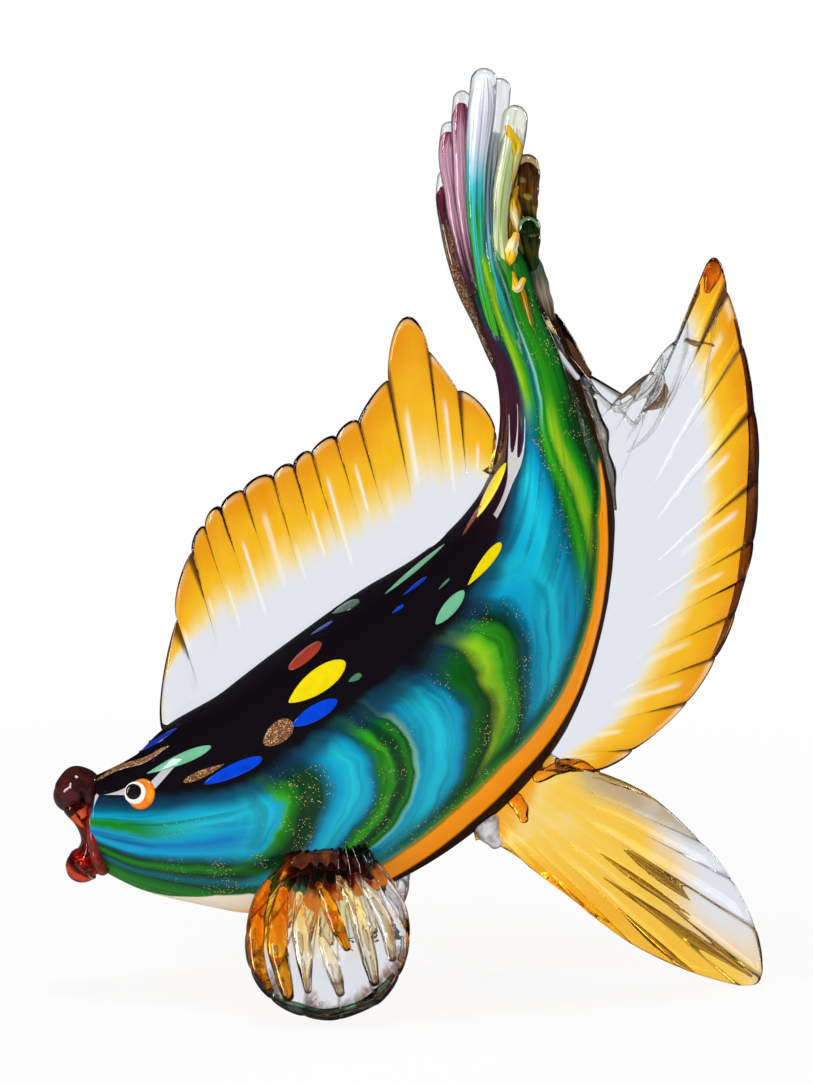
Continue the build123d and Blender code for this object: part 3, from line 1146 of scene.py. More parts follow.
    def skin(self, g: Graph) -> Socket:
        """How glossy the clear skin is: less along the back's ridge, at the keel and where it turns away.

        Args:
            g: The material's graph.

        Returns:
            The share of gloss.
        """
        ridge = g.times(g.step(g.mark("around"), 0.3, 0.16), g.step(g.mark("along"), 0.76, 0.7))
        hushed = g.larger(ridge, g.step(g.mark("keel"), -0.03, 0.01))
        hushed = g.larger(hushed, g.times(g.step(g.facing(), 0.45, 0.92), 0.8))
        return g.times_plus(hushed, -0.96, 1.0)

    def shade(self, g: Graph) -> Socket:
        """Makes the nodes from the body's marks.

        Args:
            g: The material's graph.

        Returns:
            The shader.
        """
        swirl = g.less(g.noise(g.place(), 34.0, 2.0, 0.5, 0.5), 0.5)
        fine = g.less(g.noise(g.place(), 95.0, 2.0, 0.55, 0.4), 0.5)
        waver = g.plus(g.times(swirl, 0.055), g.times(fine, 0.018))
        band = g.plus(g.mark("band"), waver)
        colour = self.threaded(g, self.hues(g, swirl, waver, band), band)
        colour = self.flaked(g, self.fringed(g, colour, swirl))
        colour = self.cased(g, colour, swirl, fine)
        return solid_shader(g, colour, 0.3, polished(g, 26.0, 0.12, 0.002), self.skin(g))


@dataclass(frozen=True)
class GlossGlass(Finish):
    """Dense coloured glass with a second colour clouded into it and a painted dark edge, painted shade where it turns
    away from the view.
    """

    name: str
    colour: Colour
    cloud: Colour
    # The colour of the painted shade at the edge
    rim: Colour

    def shade(self, g: Graph) -> Socket:
        """Makes the nodes.

        Args:
            g: The material's graph.

        Returns:
            The shader.
        """
        cloud = g.noise(g.place(), 260.0, 2.0, 0.5, 0.6)
        colour = g.mix(g.step(cloud, 0.4, 0.66), self.colour, self.cloud)
        # Painted shade: darker where the surface turns away from the view
        edge_shade = g.maths("POWER", g.facing(), 1.6)
        colour = g.lay(colour, self.rim, edge_shade, 0.8)
        return solid_shader(g, colour, g.times_plus(cloud, 0.15, 0.25))


@dataclass(frozen=True)
class FloorPaint(Finish):
    """A plain pale table that keeps the figurine's shadow."""

    name: str = "pale table"
    colour: Colour = (0.86, 0.86, 0.86)
    grain: Colour = (0.78, 0.78, 0.78)
    glow: float = 0.86
    mirrored: float = 0.13

    def shade(self, g: Graph) -> Socket:
        """Makes the nodes: the table is white to the eye, in reflections and through glass.

        Args:
            g: The material's graph.

        Returns:
            The shader.
        """
        matt = g.add("ShaderNodeBsdfDiffuse")
        grain = g.noise(g.place(), 300.0, 3.0, 0.6)
        g.feed(matt.inputs["Color"], g.mix(g.times(grain, 0.08), self.colour, self.grain))
        white = g.add("ShaderNodeEmission")
        path = g.add("ShaderNodeLightPath")
        away = g.add("ShaderNodeVectorMath", operation="LENGTH")
        g.feed(away.inputs[0], g.place())
        far = g.step(away.outputs["Value"], 0.16, 0.55)
        glow = g.times_plus(far, 1.0 - self.glow, self.glow)
        seen = g.larger(path.outputs["Is Camera Ray"], path.outputs["Is Transmission Ray"])
        shiny = g.times(path.outputs["Is Glossy Ray"], g.rest(seen))
        g.feed(white.inputs["Strength"], g.times_plus(shiny, self.mirrored - 1.0, 1.0))
        mixed = g.add("ShaderNodeMixShader")
        g.feed(mixed.inputs[0], g.times(g.larger(seen, shiny), glow))
        g.feed(mixed.inputs[1], matt.outputs[0])
        g.feed(mixed.inputs[2], white.outputs[0])
        return mixed.outputs[0]


def settle(piece: Piece, finish: Finish, slot: str, *nodes: str) -> None:
    """Dresses a piece and puts it on the figurine's body, in place of CAD nodes.

    Args:
        piece: The piece.
        finish: Its finish.
        slot: The record's slot. It is not used.
        nodes: The nodes that it stands for.
    """
    finish.dress(piece)
    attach(piece, BODY)
    if nodes:
        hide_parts(*nodes)
    log.info("%s: %d faces", piece.name, len(piece.data.polygons))


def on_skin(skin: BVHTree, column: float, row: float) -> tuple[Vector, Vector]:
    """The place on the body's near flank that a pixel shows, and its normal toward the camera.

    Args:
        skin: The body's surface.
        column: The pixel's column.
        row: The pixel's row.

    Returns:
        The place and the normal.
    """
    where, normal, _, _ = skin.ray_cast(PHOTO.eye, PHOTO.ray(column, row).normalized())
    if where is None:
        where, normal, _, _ = skin.find_nearest(PHOTO.place(column, row, -WIDTH / 4))
    return where, -normal if normal.y > 0 else normal


@dataclass
class BlownBody:
    """The fish's body, from the nose to the end of the tail stem."""

    # Along, up, half height and half width, as shares of the length, the height, the height and the width
    station_shares: Line = (
        (-0.446, 0.1850, 0.0480, 0.165),
        (-0.363, 0.1825, 0.0815, 0.300),
        (-0.292, 0.1915, 0.1075, 0.390),
        (-0.212, 0.2045, 0.1265, 0.455),
        (-0.134, 0.228, 0.138, 0.490),
        (-0.015, 0.287, 0.143, 0.500),
        (0.093, 0.364, 0.130, 0.465),
        (0.158, 0.439, 0.102, 0.390),
        (0.197, 0.523, 0.075, 0.300),
        (0.200, 0.594, 0.0545, 0.230),
        (0.193, 0.637, 0.045, 0.195),
        (0.175, 0.692, 0.039, 0.170),
        (0.149, 0.741, 0.037, 0.150),
        (0.132, 0.784, 0.037, 0.145),
    )
    # Past the stem, the coloured core runs up inside the tail's flutes
    tongue_shares: Line = (
        (0.116, 0.815, 0.028, 0.105),
        (0.103, 0.845, 0.017, 0.060),
        (0.094, 0.870, 0.008, 0.030),
    )
    # Along the spine, and how far round from the back the dark colour, the belly band and the keel reach
    back_shares: Line = (
        (0.0, 0.3), (0.05, 0.34), (0.1, 0.375), (0.15, 0.395), (0.2, 0.385), (0.24, 0.375), (0.29, 0.365),
        (0.36, 0.375), (0.42, 0.385), (0.51, 0.385), (0.58, 0.37), (0.66, 0.34), (0.7, 0.31), (0.745, 0.29),
        (0.8, 0.31), (0.845, 0.32), (0.91, 0.25), (0.98, 0.13), (1.05, 0.02), (1.3, -0.1),
    )
    belly_shares: Line = (
        (0.0, 1.05), (0.05, 0.93), (0.09, 0.835), (0.13, 0.765), (0.17, 0.745), (0.21, 0.775), (0.28, 0.775),
        (0.38, 0.748), (0.456, 0.742), (0.547, 0.785), (0.622, 0.8), (0.709, 0.765), (0.76, 0.84),
        (0.81, 1.05), (1.3, 1.1),
    )
    keel_shares: Line = (
        (0.0, 1.1), (0.2, 1.06), (0.29, 0.86), (0.387, 0.828), (0.461, 0.822), (0.552, 0.868), (0.62, 0.87),
        (0.709, 0.832), (0.76, 0.86), (0.85, 0.84), (1.0, 0.93), (1.3, 1.1),
    )
    # The bands bow toward the nose at the back and the belly, less so past the head
    band_bow: float = 2.7
    band_unbow: float = 1.1
    unbow_span: tuple[float, float] = (0.22, 0.36)
    band_middle: float = 0.47
    # The slant of the colours at the foot of the stem
    slope: float = 1.6
    slope_middle: float = 0.7
    slope_end: float = 0.8
    nose_depth: float = 0.0012
    end_depth: float = 0.002
    nose_rings: int = 8
    end_rings: int = 6
    smallest_turn: float = 0.12
    flutes: int = 11
    flute_depth: float = 0.1
    flute_span: tuple[float, float] = (0.72, 0.95)
    rings: int = 230
    around: int = 144
    faces: list = field(default_factory=list)
    points: np.ndarray | None = None

    def stack(self, s: np.ndarray) -> list[tuple[int, float, float, float]]:
        """The rings from the nose's tip to the rounded end.

        Args:
            s: How far along the spine each of its rows is.

        Returns:
            For each ring its row of the spine, how far it is shifted, its size and how deep it is fluted.
        """
        nose = np.linspace(self.smallest_turn, QUARTER_TURN, self.nose_rings + 1)[:-1]
        end = np.linspace(QUARTER_TURN, self.smallest_turn, self.end_rings + 1)[1:]
        deep = self.flute_depth * ease(s, *self.flute_span)
        stack = [(0, -self.nose_depth * math.cos(turn), math.sin(turn), 0.0) for turn in nose]
        stack += [(index, 0.0, 1.0, float(deep[index])) for index in range(self.rings)]
        stack += [(-1, self.end_depth * math.cos(turn), math.sin(turn), self.flute_depth) for turn in end]
        return stack

    def marks(self, along: np.ndarray, around: np.ndarray) -> dict[str, np.ndarray]:
        """The numbers that the body's colours follow.

        Args:
            along: How far each point is along the spine, from 0 at the nose to 1 at the end of the stem.
            around: How far it is round from the back, from 0 to 1 at the keel.

        Returns:
            The marks. Back, belly and keel are above 0 inside the dark back, the belly band and the keel.
        """
        back, belly, keel = (
            np.interp(along, [a for a, _ in table], [b for _, b in table])
            for table in (self.back_shares, self.belly_shares, self.keel_shares)
        )
        bow = self.band_bow - self.band_unbow * ease(along, *self.unbow_span)
        return {
            "along": along,
            "around": around,
            "band": along + bow * (around - self.band_middle) ** 2,
            "slant": around + self.slope * (np.minimum(along, self.slope_end) - self.slope_middle),
            "back": back - around,
            "belly": around - belly,
            "keel": around - keel,
        }

    def build(self) -> None:
        """Makes the body's mesh, with its colour marks."""
        shares = self.station_shares + self.tongue_shares
        stations = [(a * LENGTH, u * HEIGHT, h * HEIGHT, w * WIDTH) for a, u, h, w in shares]
        rows = smooth_path(stations, self.rings, 2)
        chords = [math.dist(a[:2], b[:2]) for a, b in zip(stations, stations[1:])]
        s = np.linspace(0, sum(chords) / sum(chords[: len(self.station_shares) - 1]), self.rings)
        tangent = np.gradient(rows[:, :2], axis=0)
        tangent /= np.linalg.norm(tangent, axis=1)[:, None]
        angles = np.arange(self.around) * FULL_TURN / self.around
        points, along, stack = [], [], self.stack(s)
        for index, shift, size, depth in stack:
            (x, z, high, wide), (tx, tz) = rows[index], tangent[index]
            reach = size * (1 + depth * np.cos(self.flutes * angles))
            up, out = np.cos(angles) * high * reach, np.sin(angles) * wide * reach
            centre_x, centre_z = x + tx * shift, z + tz * shift
            points.append(np.stack([centre_x - tz * up, out, centre_z + tx * up], axis=1))
            along.append(np.full(self.around, s[index]))
        self.points = np.array(points)
        self.faces = ring_faces(len(stack), self.around)
        around = np.tile(1 - np.abs(angles / math.pi - 1), (len(stack), 1))
        piece = make_piece("blown_body", self.points, self.faces, self.marks(np.array(along), around))
        nodes = ("body_casing", "colour_bubble", "back_overlay", "belly_band")
        settle(outward(piece), BodyGlass(), "teal_bubble", *nodes)

    def skin(self) -> BVHTree:
        """A tree for finding places on the body's surface."""
        return BVHTree.FromPolygons([Vector(p) for p in self.points.reshape(-1, 3)], self.faces)


@dataclass(frozen=True)
class Chip:
    """One leaf-shaped chip.

    Its middle, length, width and wave are in pixels and its tilt in degrees. Tail and head say how sharp its
    ends are, and tone how much of its colour shows.
    """

    column: float
    row: float
    length: float
    width: float
    tilt: float
    tail: float = 0.9
    head: float = 0.5
    wave: float = 0.0
    tone: float = 1.0


@dataclass
class ChipSet:
    """The chips of one colour, pressed flush into both flanks."""

    label: str
    node: str
    slot: str
    finish: Finish
    chips: tuple[Chip, ...]
    lift: float = 0.00012
    tuck: float = 0.0006
    rim_from: float = 0.999
    waves: float = 5.0
    long_count: int = 26
    wide_count: int = 9

    def patch(self, chip: Chip, skin: BVHTree) -> tuple[np.ndarray, np.ndarray]:
        """A chip's points on the left flank.

        Args:
            chip: The chip.
            skin: The body's surface.

        Returns:
            The grid of points, and how near each is to the chip's edge.
        """
        turn = math.radians(chip.tilt)
        points, edges = [], []
        widest = (chip.tail - chip.head) / (chip.tail + chip.head)
        peak = (1 - widest) ** chip.head * (1 + widest) ** chip.tail
        for t in -np.cos(np.linspace(0, math.pi, self.long_count)):
            half = chip.width / 2 * max(1 - t, 0.0) ** chip.head * max(1 + t, 0.0) ** chip.tail / peak
            for side in np.linspace(-1, 1, self.wide_count):
                x = t * chip.length / 2
                y = side * half + chip.wave * math.sin(t * self.waves)
                column = chip.column + x * math.cos(turn) + y * math.sin(turn)
                row = chip.row - x * math.sin(turn) + y * math.cos(turn)
                where, normal = on_skin(skin, column, row)
                near = max(abs(side), abs(t))
                points.append(where + normal * (self.lift if near < self.rim_from else -self.tuck))
                edges.append(near)
        return np.array([tuple(p) for p in points]), np.array(edges)

    def build(self, skin: BVHTree) -> None:
        """Makes the set's chips as one piece, each on both flanks of the body's surface.

        Args:
            skin: The body's surface.
        """
        points, faces, edges, tones = [], [], [], []
        for chip in self.chips:
            grid, near = self.patch(chip, skin)
            for side in Side:
                start = sum(len(p) for p in points)
                points.append(grid * np.array([1, -side.value, 1]))
                edges.append(near)
                tones.append(np.full(len(near), chip.tone))
                for i in range(self.long_count - 1):
                    for j in range(self.wide_count - 1):
                        a = start + i * self.wide_count + j
                        quad = (a, a + 1, a + 1 + self.wide_count, a + self.wide_count)
                        faces.append(quad if side is Side.LEFT else quad[::-1])
        marks = {"edge": np.concatenate(edges), "tone": np.concatenate(tones)}
        piece = make_piece(self.label, np.concatenate(points), faces, marks)
        settle(piece, self.finish, self.slot, self.node)


@dataclass
class RibbedFin:
    """A fin of clear glass with ribs that fan out from its root, grooved and scalloped at the rim.

    Each row of ribs is a groove: root column and row, rim column and row, column and row of the lobe's
    tip after it, where the amber starts as a share from root to rim, how far in the groove runs, and
    how wide the rim's band of painted shade is, in millimetres.
    """

    label: str
    node: str
    slot: str
    ribs: Line
    finish: Finish
    thickness: float
    origin: Vector = field(default_factory=lambda: Vector((0, 0, 0)))
    normal: Vector = field(default_factory=lambda: Vector((0, 1, 0)))
    side: Side = Side.LEFT
    steps: int = 20
    rows: int = 52
    rim_share: float = 0.55
    relief: float = 0.72
    swell: float = 0.45
    swell_from: float = 0.25
    lobe_roundness: float = 0.62
    end_width: float = 0.55
    least_end: float = 0.02
    least_half: float = 2e-5
    ruffle: float = 0.0008
    ruffle_turn: float = 2.4
    ruffle_start: float = 0.7
    # How wide the painted shade lines down the grooves are; dark_rim is the width of the painted shade band along the
    # rim
    groove_width: float = 0.016
    groove_flare: float = 0.055
    dark_rim: float = 0.6
    cased_below: float = 0.001
    # Least and most of where in its lobe a painted highlight lies, how broad it is, and where it starts and ends
    gleam_ranges: Line = ((0.2, 0.42), (0.028, 0.05), (-0.34, 0.05), (0.25, 0.72))

    def spots(self, first: int) -> np.ndarray:
        """The places in the fin's plane of the pixels at two columns of the rib table."""
        pixels = [rib[first : first + 2] for rib in self.ribs]
        return np.array([PHOTO.place_on(*pixel, self.origin, self.normal) for pixel in pixels])

    def half(self, v: np.ndarray, reach_in: float, crown: float, end: float, length: float) -> np.ndarray:
        """Half the glass's thickness along one line from the root to the rim.

        Args:
            v: Shares of the way along the line.
            reach_in: How far in the groove runs.
            crown: 1 in the middle of a lobe and 0 in a groove.
            end: How far the line is from the fin's nearer end, in lobes.
            length: The line's length.

        Returns:
            The half thickness at each share.
        """
        taper = 1 - (1 - self.rim_share) * v
        depth = self.swell * ease(v, self.swell_from, 1 - reach_in)
        depth = depth + (self.relief - self.swell) * ease(v, 1 - reach_in * 1.1, 1 - reach_in * 0.35)
        scallop = 1 - depth * (1 - crown**0.5)
        from_rim = 1 - (1 - v) * length / (self.thickness * 0.55)
        rounding = np.sqrt(np.clip(1 - np.clip(from_rim, 0, 1) ** 2, 0, 1))
        end_round = math.sqrt(max(1 - (1 - min(end / self.end_width, 1)) ** 2, 0.0))
        shape = taper * scallop * rounding * max(end_round, self.least_end)
        return self.thickness / 2 * shape + self.least_half

    def build(self) -> None:
        """Makes the fin's closed mesh."""
        count = len(self.ribs)
        root, notch, tip = self.spots(0), self.spots(2), self.spots(4)
        start, inward = (np.array([rib[index] for rib in self.ribs]) for index in (6, 7))
        dark = np.array([rib[8] if len(rib) > 8 else self.dark_rim for rib in self.ribs]) / PER_METRE
        normal = np.array(self.normal.normalized())
        across = np.linspace(0, count - 1, (count - 1) * self.steps + 1)
        across = across - 0.75 * np.sin(FULL_TURN * across) / FULL_TURN
        v = 1 - (1 - np.linspace(0, 1, self.rows)) ** 1.6
        chance = np.random.default_rng(SEED + count)
        gleams = [chance.uniform(low, high, count) for low, high in self.gleam_ranges]
        points, marks = [], {"reach": [], "across": [], "groove": [], "lens": [], "cased": []}
        for u in across:
            i = min(int(u + 1e-9), count - 2)
            t = max(u - i, 0.0)
            crown = max(1 - (2 * t - 1) ** 2, 0.0)
            base, chord = between(root, i, t), between(notch, i, t)
            rim = chord + (tip[i] - (notch[i] + notch[i + 1]) / 2) * crown**self.lobe_roundness
            length = np.linalg.norm(rim - base)
            reach_in = between(inward, i, t)
            half = self.half(v, reach_in, crown, min(u, count - 1 - u), length)
            spine = base[None] + (rim - base)[None] * v[:, None]
            wave = self.ruffle * np.sin(u * self.ruffle_turn + self.ruffle_start) * v**2
            faces = (spine + normal * (wave + half)[:, None], (spine + normal * (wave - half)[:, None])[::-1])
            points.append(np.concatenate(faces))
            near = min(t, 1 - t) if 0 < u < count - 1 else 0.0
            # The groove mark is painted shade: dark lines down the grooves and a dark band along the rim
            wedge = self.groove_width + self.groove_flare * ease(v, 1 - reach_in, 1.0)
            line = (1 - ease(near / wedge, 0.5, 1.3)) * ease(v, 1 - reach_in, 1 - reach_in * 0.8)
            dark_in, edge = between(dark, i, t), between(start, i, t)
            from_rim = (1 - v) * length / dark_in
            rim_shade = 1 - ease(from_rim / (0.7 + 0.8 * t), 0.6, 1.35)
            reach = (v - edge) / max(1 - edge, 0.05)
            # The lens mark is a painted highlight: a streak of light down one flank of each lobe
            middle, breadth, first, last = (gleam[i] for gleam in gleams)
            lens = np.exp(-(((t - middle) / breadth) ** 2))
            rows = {
                "reach": reach,
                "across": np.full(self.rows, u),
                "groove": np.maximum(line, rim_shade),
                "lens": lens * ease(reach, first, first + 0.08) * ease(-reach, -last, -last + 0.15),
                "cased": np.exp(-(((from_rim - 2.6) / 1.3) ** 2)) * (1 - t) * (dark_in < self.cased_below),
            }
            for key, values in rows.items():
                marks[key].append(np.concatenate([values, values[::-1]]))
        around = 2 * self.rows
        faces = ring_faces(len(across), around, capped=False)
        for first in (0, (len(across) - 1) * around):
            for k in range(self.rows - 1):
                quad = (first + k, first + k + 1, first + around - 2 - k, first + around - 1 - k)
                faces.append(quad if first == 0 else quad[::-1])
        shape = np.array(points) * np.array([1, -self.side.value, 1])
        shape[..., 2] = np.maximum(shape[..., 2], 0.0)
        piece = make_piece(self.label, shape, faces, {key: np.array(values) for key, values in marks.items()})
        settle(outward(piece), self.finish, self.slot, self.node)


DORSAL_RIBS = (
    (176, 742, 165, 730, 161, 690, 1.30, 0.30, 1.0),
    (208, 715, 178, 617, 177, 588, 0.72, 0.45, 0.9),
    (232, 695, 192, 552, 195, 534, 0.50, 0.35),
    (252, 682, 205, 527, 210, 511, 0.46, 0.32),
    (272, 668, 221, 507, 230, 494, 0.44, 0.30),
    (295, 652, 243, 491, 257, 477, 0.44, 0.28),
    (318, 636, 273, 477, 282, 465, 0.44, 0.42),
    (338, 622, 293, 465, 301, 453, 0.44, 0.35),
    (358, 608, 311, 453, 324, 439, 0.43, 0.42),
    (380, 592, 336, 437, 346, 423, 0.42, 0.35),
    (402, 575, 358, 421, 372, 396, 0.40, 0.45),
    (424, 558, 388, 381, 403, 318, 0.36, 0.55),
    (450, 535, 429, 351, 444, 369, 0.34, 0.55),
    (470, 512, 458, 391, 482, 405, 0.34, 0.60),
    (486, 494, 495, 432, 494, 452, 0.30, 0.40),
    (494, 478, 482, 470, 482, 470, 0.30, 0.40),
)
ANAL_RIBS = (
    (575, 395, 584, 371, 604, 383, 1.40, 0.50, 1.0),
    (588, 430, 623, 394, 639, 379, 1.40, 0.50, 1.2),
    (596, 460, 650, 374, 664, 351, 1.40, 0.55, 1.2),
    (602, 485, 678, 342, 689, 316, 1.30, 0.60, 1.2),
    (607, 505, 700, 291, 714, 257, 0.80, 0.50, 1.2),
    (611, 525, 727, 292, 737, 318, 0.72, 0.30, 0.8),
    (612, 548, 742, 345, 750, 372, 0.70, 0.34, 1.4),
    (611, 572, 753, 408, 759, 442, 0.68, 0.34, 2.2),
    (608, 600, 757, 480, 758, 512, 0.62, 0.32, 2.6),
    (602, 628, 753, 541, 751, 560, 0.58, 0.30, 2.0),
    (595, 655, 744, 578, 741, 596, 0.52, 0.30, 1.6),
    (586, 682, 735, 614, 728, 636, 0.46, 0.34, 1.1),
    (574, 708, 715, 657, 704, 680, 0.45, 0.36),
    (560, 732, 687, 702, 662, 729, 0.40, 0.34),
    (545, 752, 632, 750, 616, 763, 0.30, 0.30),
    (532, 770, 590, 772, 590, 772, 0.20, 0.30),
)
PELVIC_RIBS = (
    (470, 818, 476, 842, 500, 847, 0.90, 0.20),
    (478, 812, 530, 868, 550, 882, 0.50, 0.20),
    (484, 806, 580, 905, 607, 927, 0.25, 0.30),
    (491, 800, 634, 946, 656, 957, 0.15, 0.30),
    (498, 795, 680, 967, 708, 977, 0.12, 0.34),
    (505, 789, 738, 985, 752, 987, 0.10, 0.52),
    (512, 783, 761, 977, 762, 954, 0.10, 0.40),
    (519, 777, 755, 928, 745, 903, 0.08, 0.55),
    (527, 771, 731, 880, 716, 858, 0.06, 0.45),
    (534, 765, 700, 842, 678, 818, 0.05, 0.35),
    (542, 760, 652, 797, 626, 783, 0.05, 0.25),
    (548, 756, 598, 774, 576, 768, 0.05, 0.20),
    (552, 752, 556, 768, 556, 768, 0.05, 0.20),
)
PECTORAL_RIBS = (
    (298, 848, 288, 853, 272, 870, 0.10, 0.80),
    (304, 848, 262, 890, 252, 910, 0.10, 0.85),
    (310, 848, 248, 930, 245, 949, 0.10, 0.85),
    (316, 848, 251, 968, 258, 986, 0.10, 0.85),
    (322, 848, 271, 999, 286, 1011, 0.10, 0.85),
    (329, 848, 304, 1015, 322, 1019, 0.10, 0.85),
    (335, 848, 340, 1018, 358, 1014, 0.10, 0.85),
    (342, 848, 375, 1006, 389, 994, 0.10, 0.85),
    (348, 848, 399, 974, 407, 957, 0.10, 0.85),
    (354, 848, 409, 938, 409, 919, 0.10, 0.85),
    (360, 848, 403, 902, 395, 884, 0.10, 0.85),
    (366, 848, 384, 868, 384, 868, 0.10, 0.80),
)


@dataclass
class Folds:
    """Where the fins were folded and pinched: a bead, ridges and folds, lumps at the roots, and grooves, whose olive
    tint is painted groove shade.

    Each line is rows of column, row and radius in pixels.
    """

    out: float = 0.0026
    ridges: tuple[Line, ...] = (
        ((687, 322, 0.8), (686, 336, 1.5), (682, 360, 1.9), (674, 384, 1.9), (664, 406, 1.8), (646, 437, 1.4),
         (627, 452, 0.6)),
        ((663, 353, 0.8), (660, 366, 2.2), (652, 381, 2.8), (640, 394, 3.0), (629, 403, 3.2), (616, 409, 3.4),
         (603, 401, 3.2), (592, 391, 3.4), (584, 379, 4.2)),
        ((662, 366, 0.8), (663, 382, 1.5), (658, 394, 1.8), (650, 404, 1.6), (640, 417, 2.0), (634, 424, 2.2),
         (626, 417, 1.8), (620, 409, 0.8)),
        ((717, 311, 0.6), (715, 328, 1.0), (711, 345, 1.1), (706, 375, 1.0), (702, 398, 0.5)),
    )
    smoky_folds: tuple[Line, ...] = (
        ((665, 384, 1.2), (664, 392, 3.6), (660, 401, 4.6), (651, 407, 2.6), (644, 411, 1.0)),
        ((687, 340, 2.2), (693, 342.5, 2.8), (703, 343, 1.2), (713, 345, 1.4)),
        ((652, 372, 0.8), (641, 381, 1.7), (630, 391, 2.3), (620, 399, 1.4)),
    )
    root_lumps: Line = (
        (580, 380, 6), (588, 398, 7.5), (596, 416, 5), (601, 432, 7), (605, 450, 4), (610, 470, 6), (613, 490, 3.5),
        (615, 508, 2),
    )
    bead: Line = ((714, 268, 8.5), (711, 277, 7.5), (707, 289, 4))
    # Raised strokes down the pelvic fin's grooves; their olive glass is painted groove shade
    strokes: tuple[Line, ...] = (
        ((624, 850, 0.6), (640, 862, 3.2), (664, 879, 4.2), (689, 899, 0.6)),
        ((600, 853, 0.6), (622, 869, 3.0), (655, 892, 3.6), (690, 915, 0.6)),
        ((604, 878, 0.6), (640, 902, 3.0), (690, 936, 4.4), (750, 976, 0.8)),
        ((618, 908, 0.6), (640, 929, 3.0), (668, 953, 3.6), (694, 972, 0.6)),
    )
    rim: Line = (
        (734, 320, 0.8), (741, 347, 1.8), (747, 375, 2.6), (750.5, 405, 3.6), (753, 440, 4.6), (752.5, 480, 5.6),
        (751, 515, 6.0), (746.5, 550, 5.6), (740, 583, 4.6), (731, 613, 3.4), (720, 641, 2.2), (709, 661, 1.0),
    )
    root_block: Line = ((482, 805, 7), (484, 818, 13), (488, 830, 13), (495, 841, 8))
    knob: Line = ((508, 786, 6), (513, 797, 8), (521, 808, 8), (524, 818, 5))
    saddle: Line = ((538, 776, 6), (554, 768, 7), (576, 765, 7), (596, 771, 4))

    def pairs(self, *groups: tuple[str, tuple[Line, ...], int, int, float, int, Finish, str]) -> None:
        """Makes lines on both faces of a fin.

        Args:
            groups: A name, lines, points in a ring, rings, unevenness, seed, finish and slot.
        """
        for side in Side:
            for label, lines, around, count, lumps, seed, finish, slot in groups:
                for index, rows in enumerate(lines):
                    name = f"{side.name.lower()}_{label}_{index + 1}"
                    path = traced(rows, side.value * self.out)
                    settle(rod(name, path, around, count, lumps, seed + index), finish, slot)

    def singles(self, *pieces: tuple[str, Line, float, int, int, float, Finish, str]) -> None:
        """Makes single pieces.

        Args:
            pieces: A name, a line, its distance out, points in a ring, rings, unevenness, finish and slot.
        """
        for name, rows, out, around, count, lumps, finish, slot in pieces:
            settle(rod(name, traced(rows, out), around, count, lumps), finish, slot)

    def build(self) -> None:
        """Makes the beads, the ridges and grooves on both faces, and the lumps."""
        ridge = StreakedGlass("folded clear glass", (0.9, 0.91, 0.93), (0.7, 0.66, 0.54), (0.05, 0.035, 0.02), 0.6, 6)
        smoky = StreakedGlass("smoky fold glass", (0.28, 0.18, 0.11), (0.62, 0.48, 0.3), (0.035, 0.02, 0.012), 0.6, 6)
        lump = StreakedGlass("pinched smoky glass", (0.11, 0.09, 0.07), (0.76, 0.68, 0.56), (0.02, 0.016, 0.012), 0.8, 9)
        amber = StreakedGlass("amber bead glass", (0.42, 0.12, 0.012), (0.9, 0.5, 0.02), (0.06, 0.015, 0.004), 0.8, 4)
        # The strokes' olive glass is painted shade in the grooves
        shadow = StreakedGlass("olive stroke glass", (0.42, 0.33, 0.1), (0.72, 0.62, 0.34), (0.1, 0.075, 0.02), 0.6, 4)
        dark = StreakedGlass("brown rim glass", (0.17, 0.085, 0.045), (0.42, 0.22, 0.08), (0.02, 0.01, 0.006), 0.7, 10)
        block = GlossGlass("clear block glass", (0.7, 0.7, 0.73), (0.42, 0.39, 0.38), (0.03, 0.02, 0.015))
        gold = StreakedGlass("golden knob glass", (0.95, 0.6, 0.1), (0.86, 0.33, 0.01), (0.16, 0.05, 0.008), 0.7, 5)
        self.pairs(
            ("ridge", self.ridges, 20, 70, 0.06, SEED, ridge, "amber_fin"),
            ("smoky_fold", self.smoky_folds, 20, 60, 0.06, SEED + 10, smoky, "amber_fin"),
        )
        self.singles(
            ("root_lumps", self.root_lumps, -0.001, 24, 90, 0.16, lump, "amber_fin"),
            ("peak_bead", self.bead, 0, 28, 40, 0.03, amber, "amber_fin"),
        )
        self.pairs(("stroke", self.strokes, 18, 60, 0.0, SEED, shadow, "golden_fin"))
        self.singles(
            ("anal_rim", self.rim, 0, 24, 150, 0.1, dark, "amber_fin"),
            ("pelvic_root", self.root_block, -0.004, 24, 50, 0.12, block, "golden_fin"),
            ("pelvic_knob", self.knob, -0.002, 24, 50, 0.1, gold, "golden_fin"),
            ("fin_saddle", self.saddle, 0, 24, 60, 0.12, gold, "amber_fin"),
        )


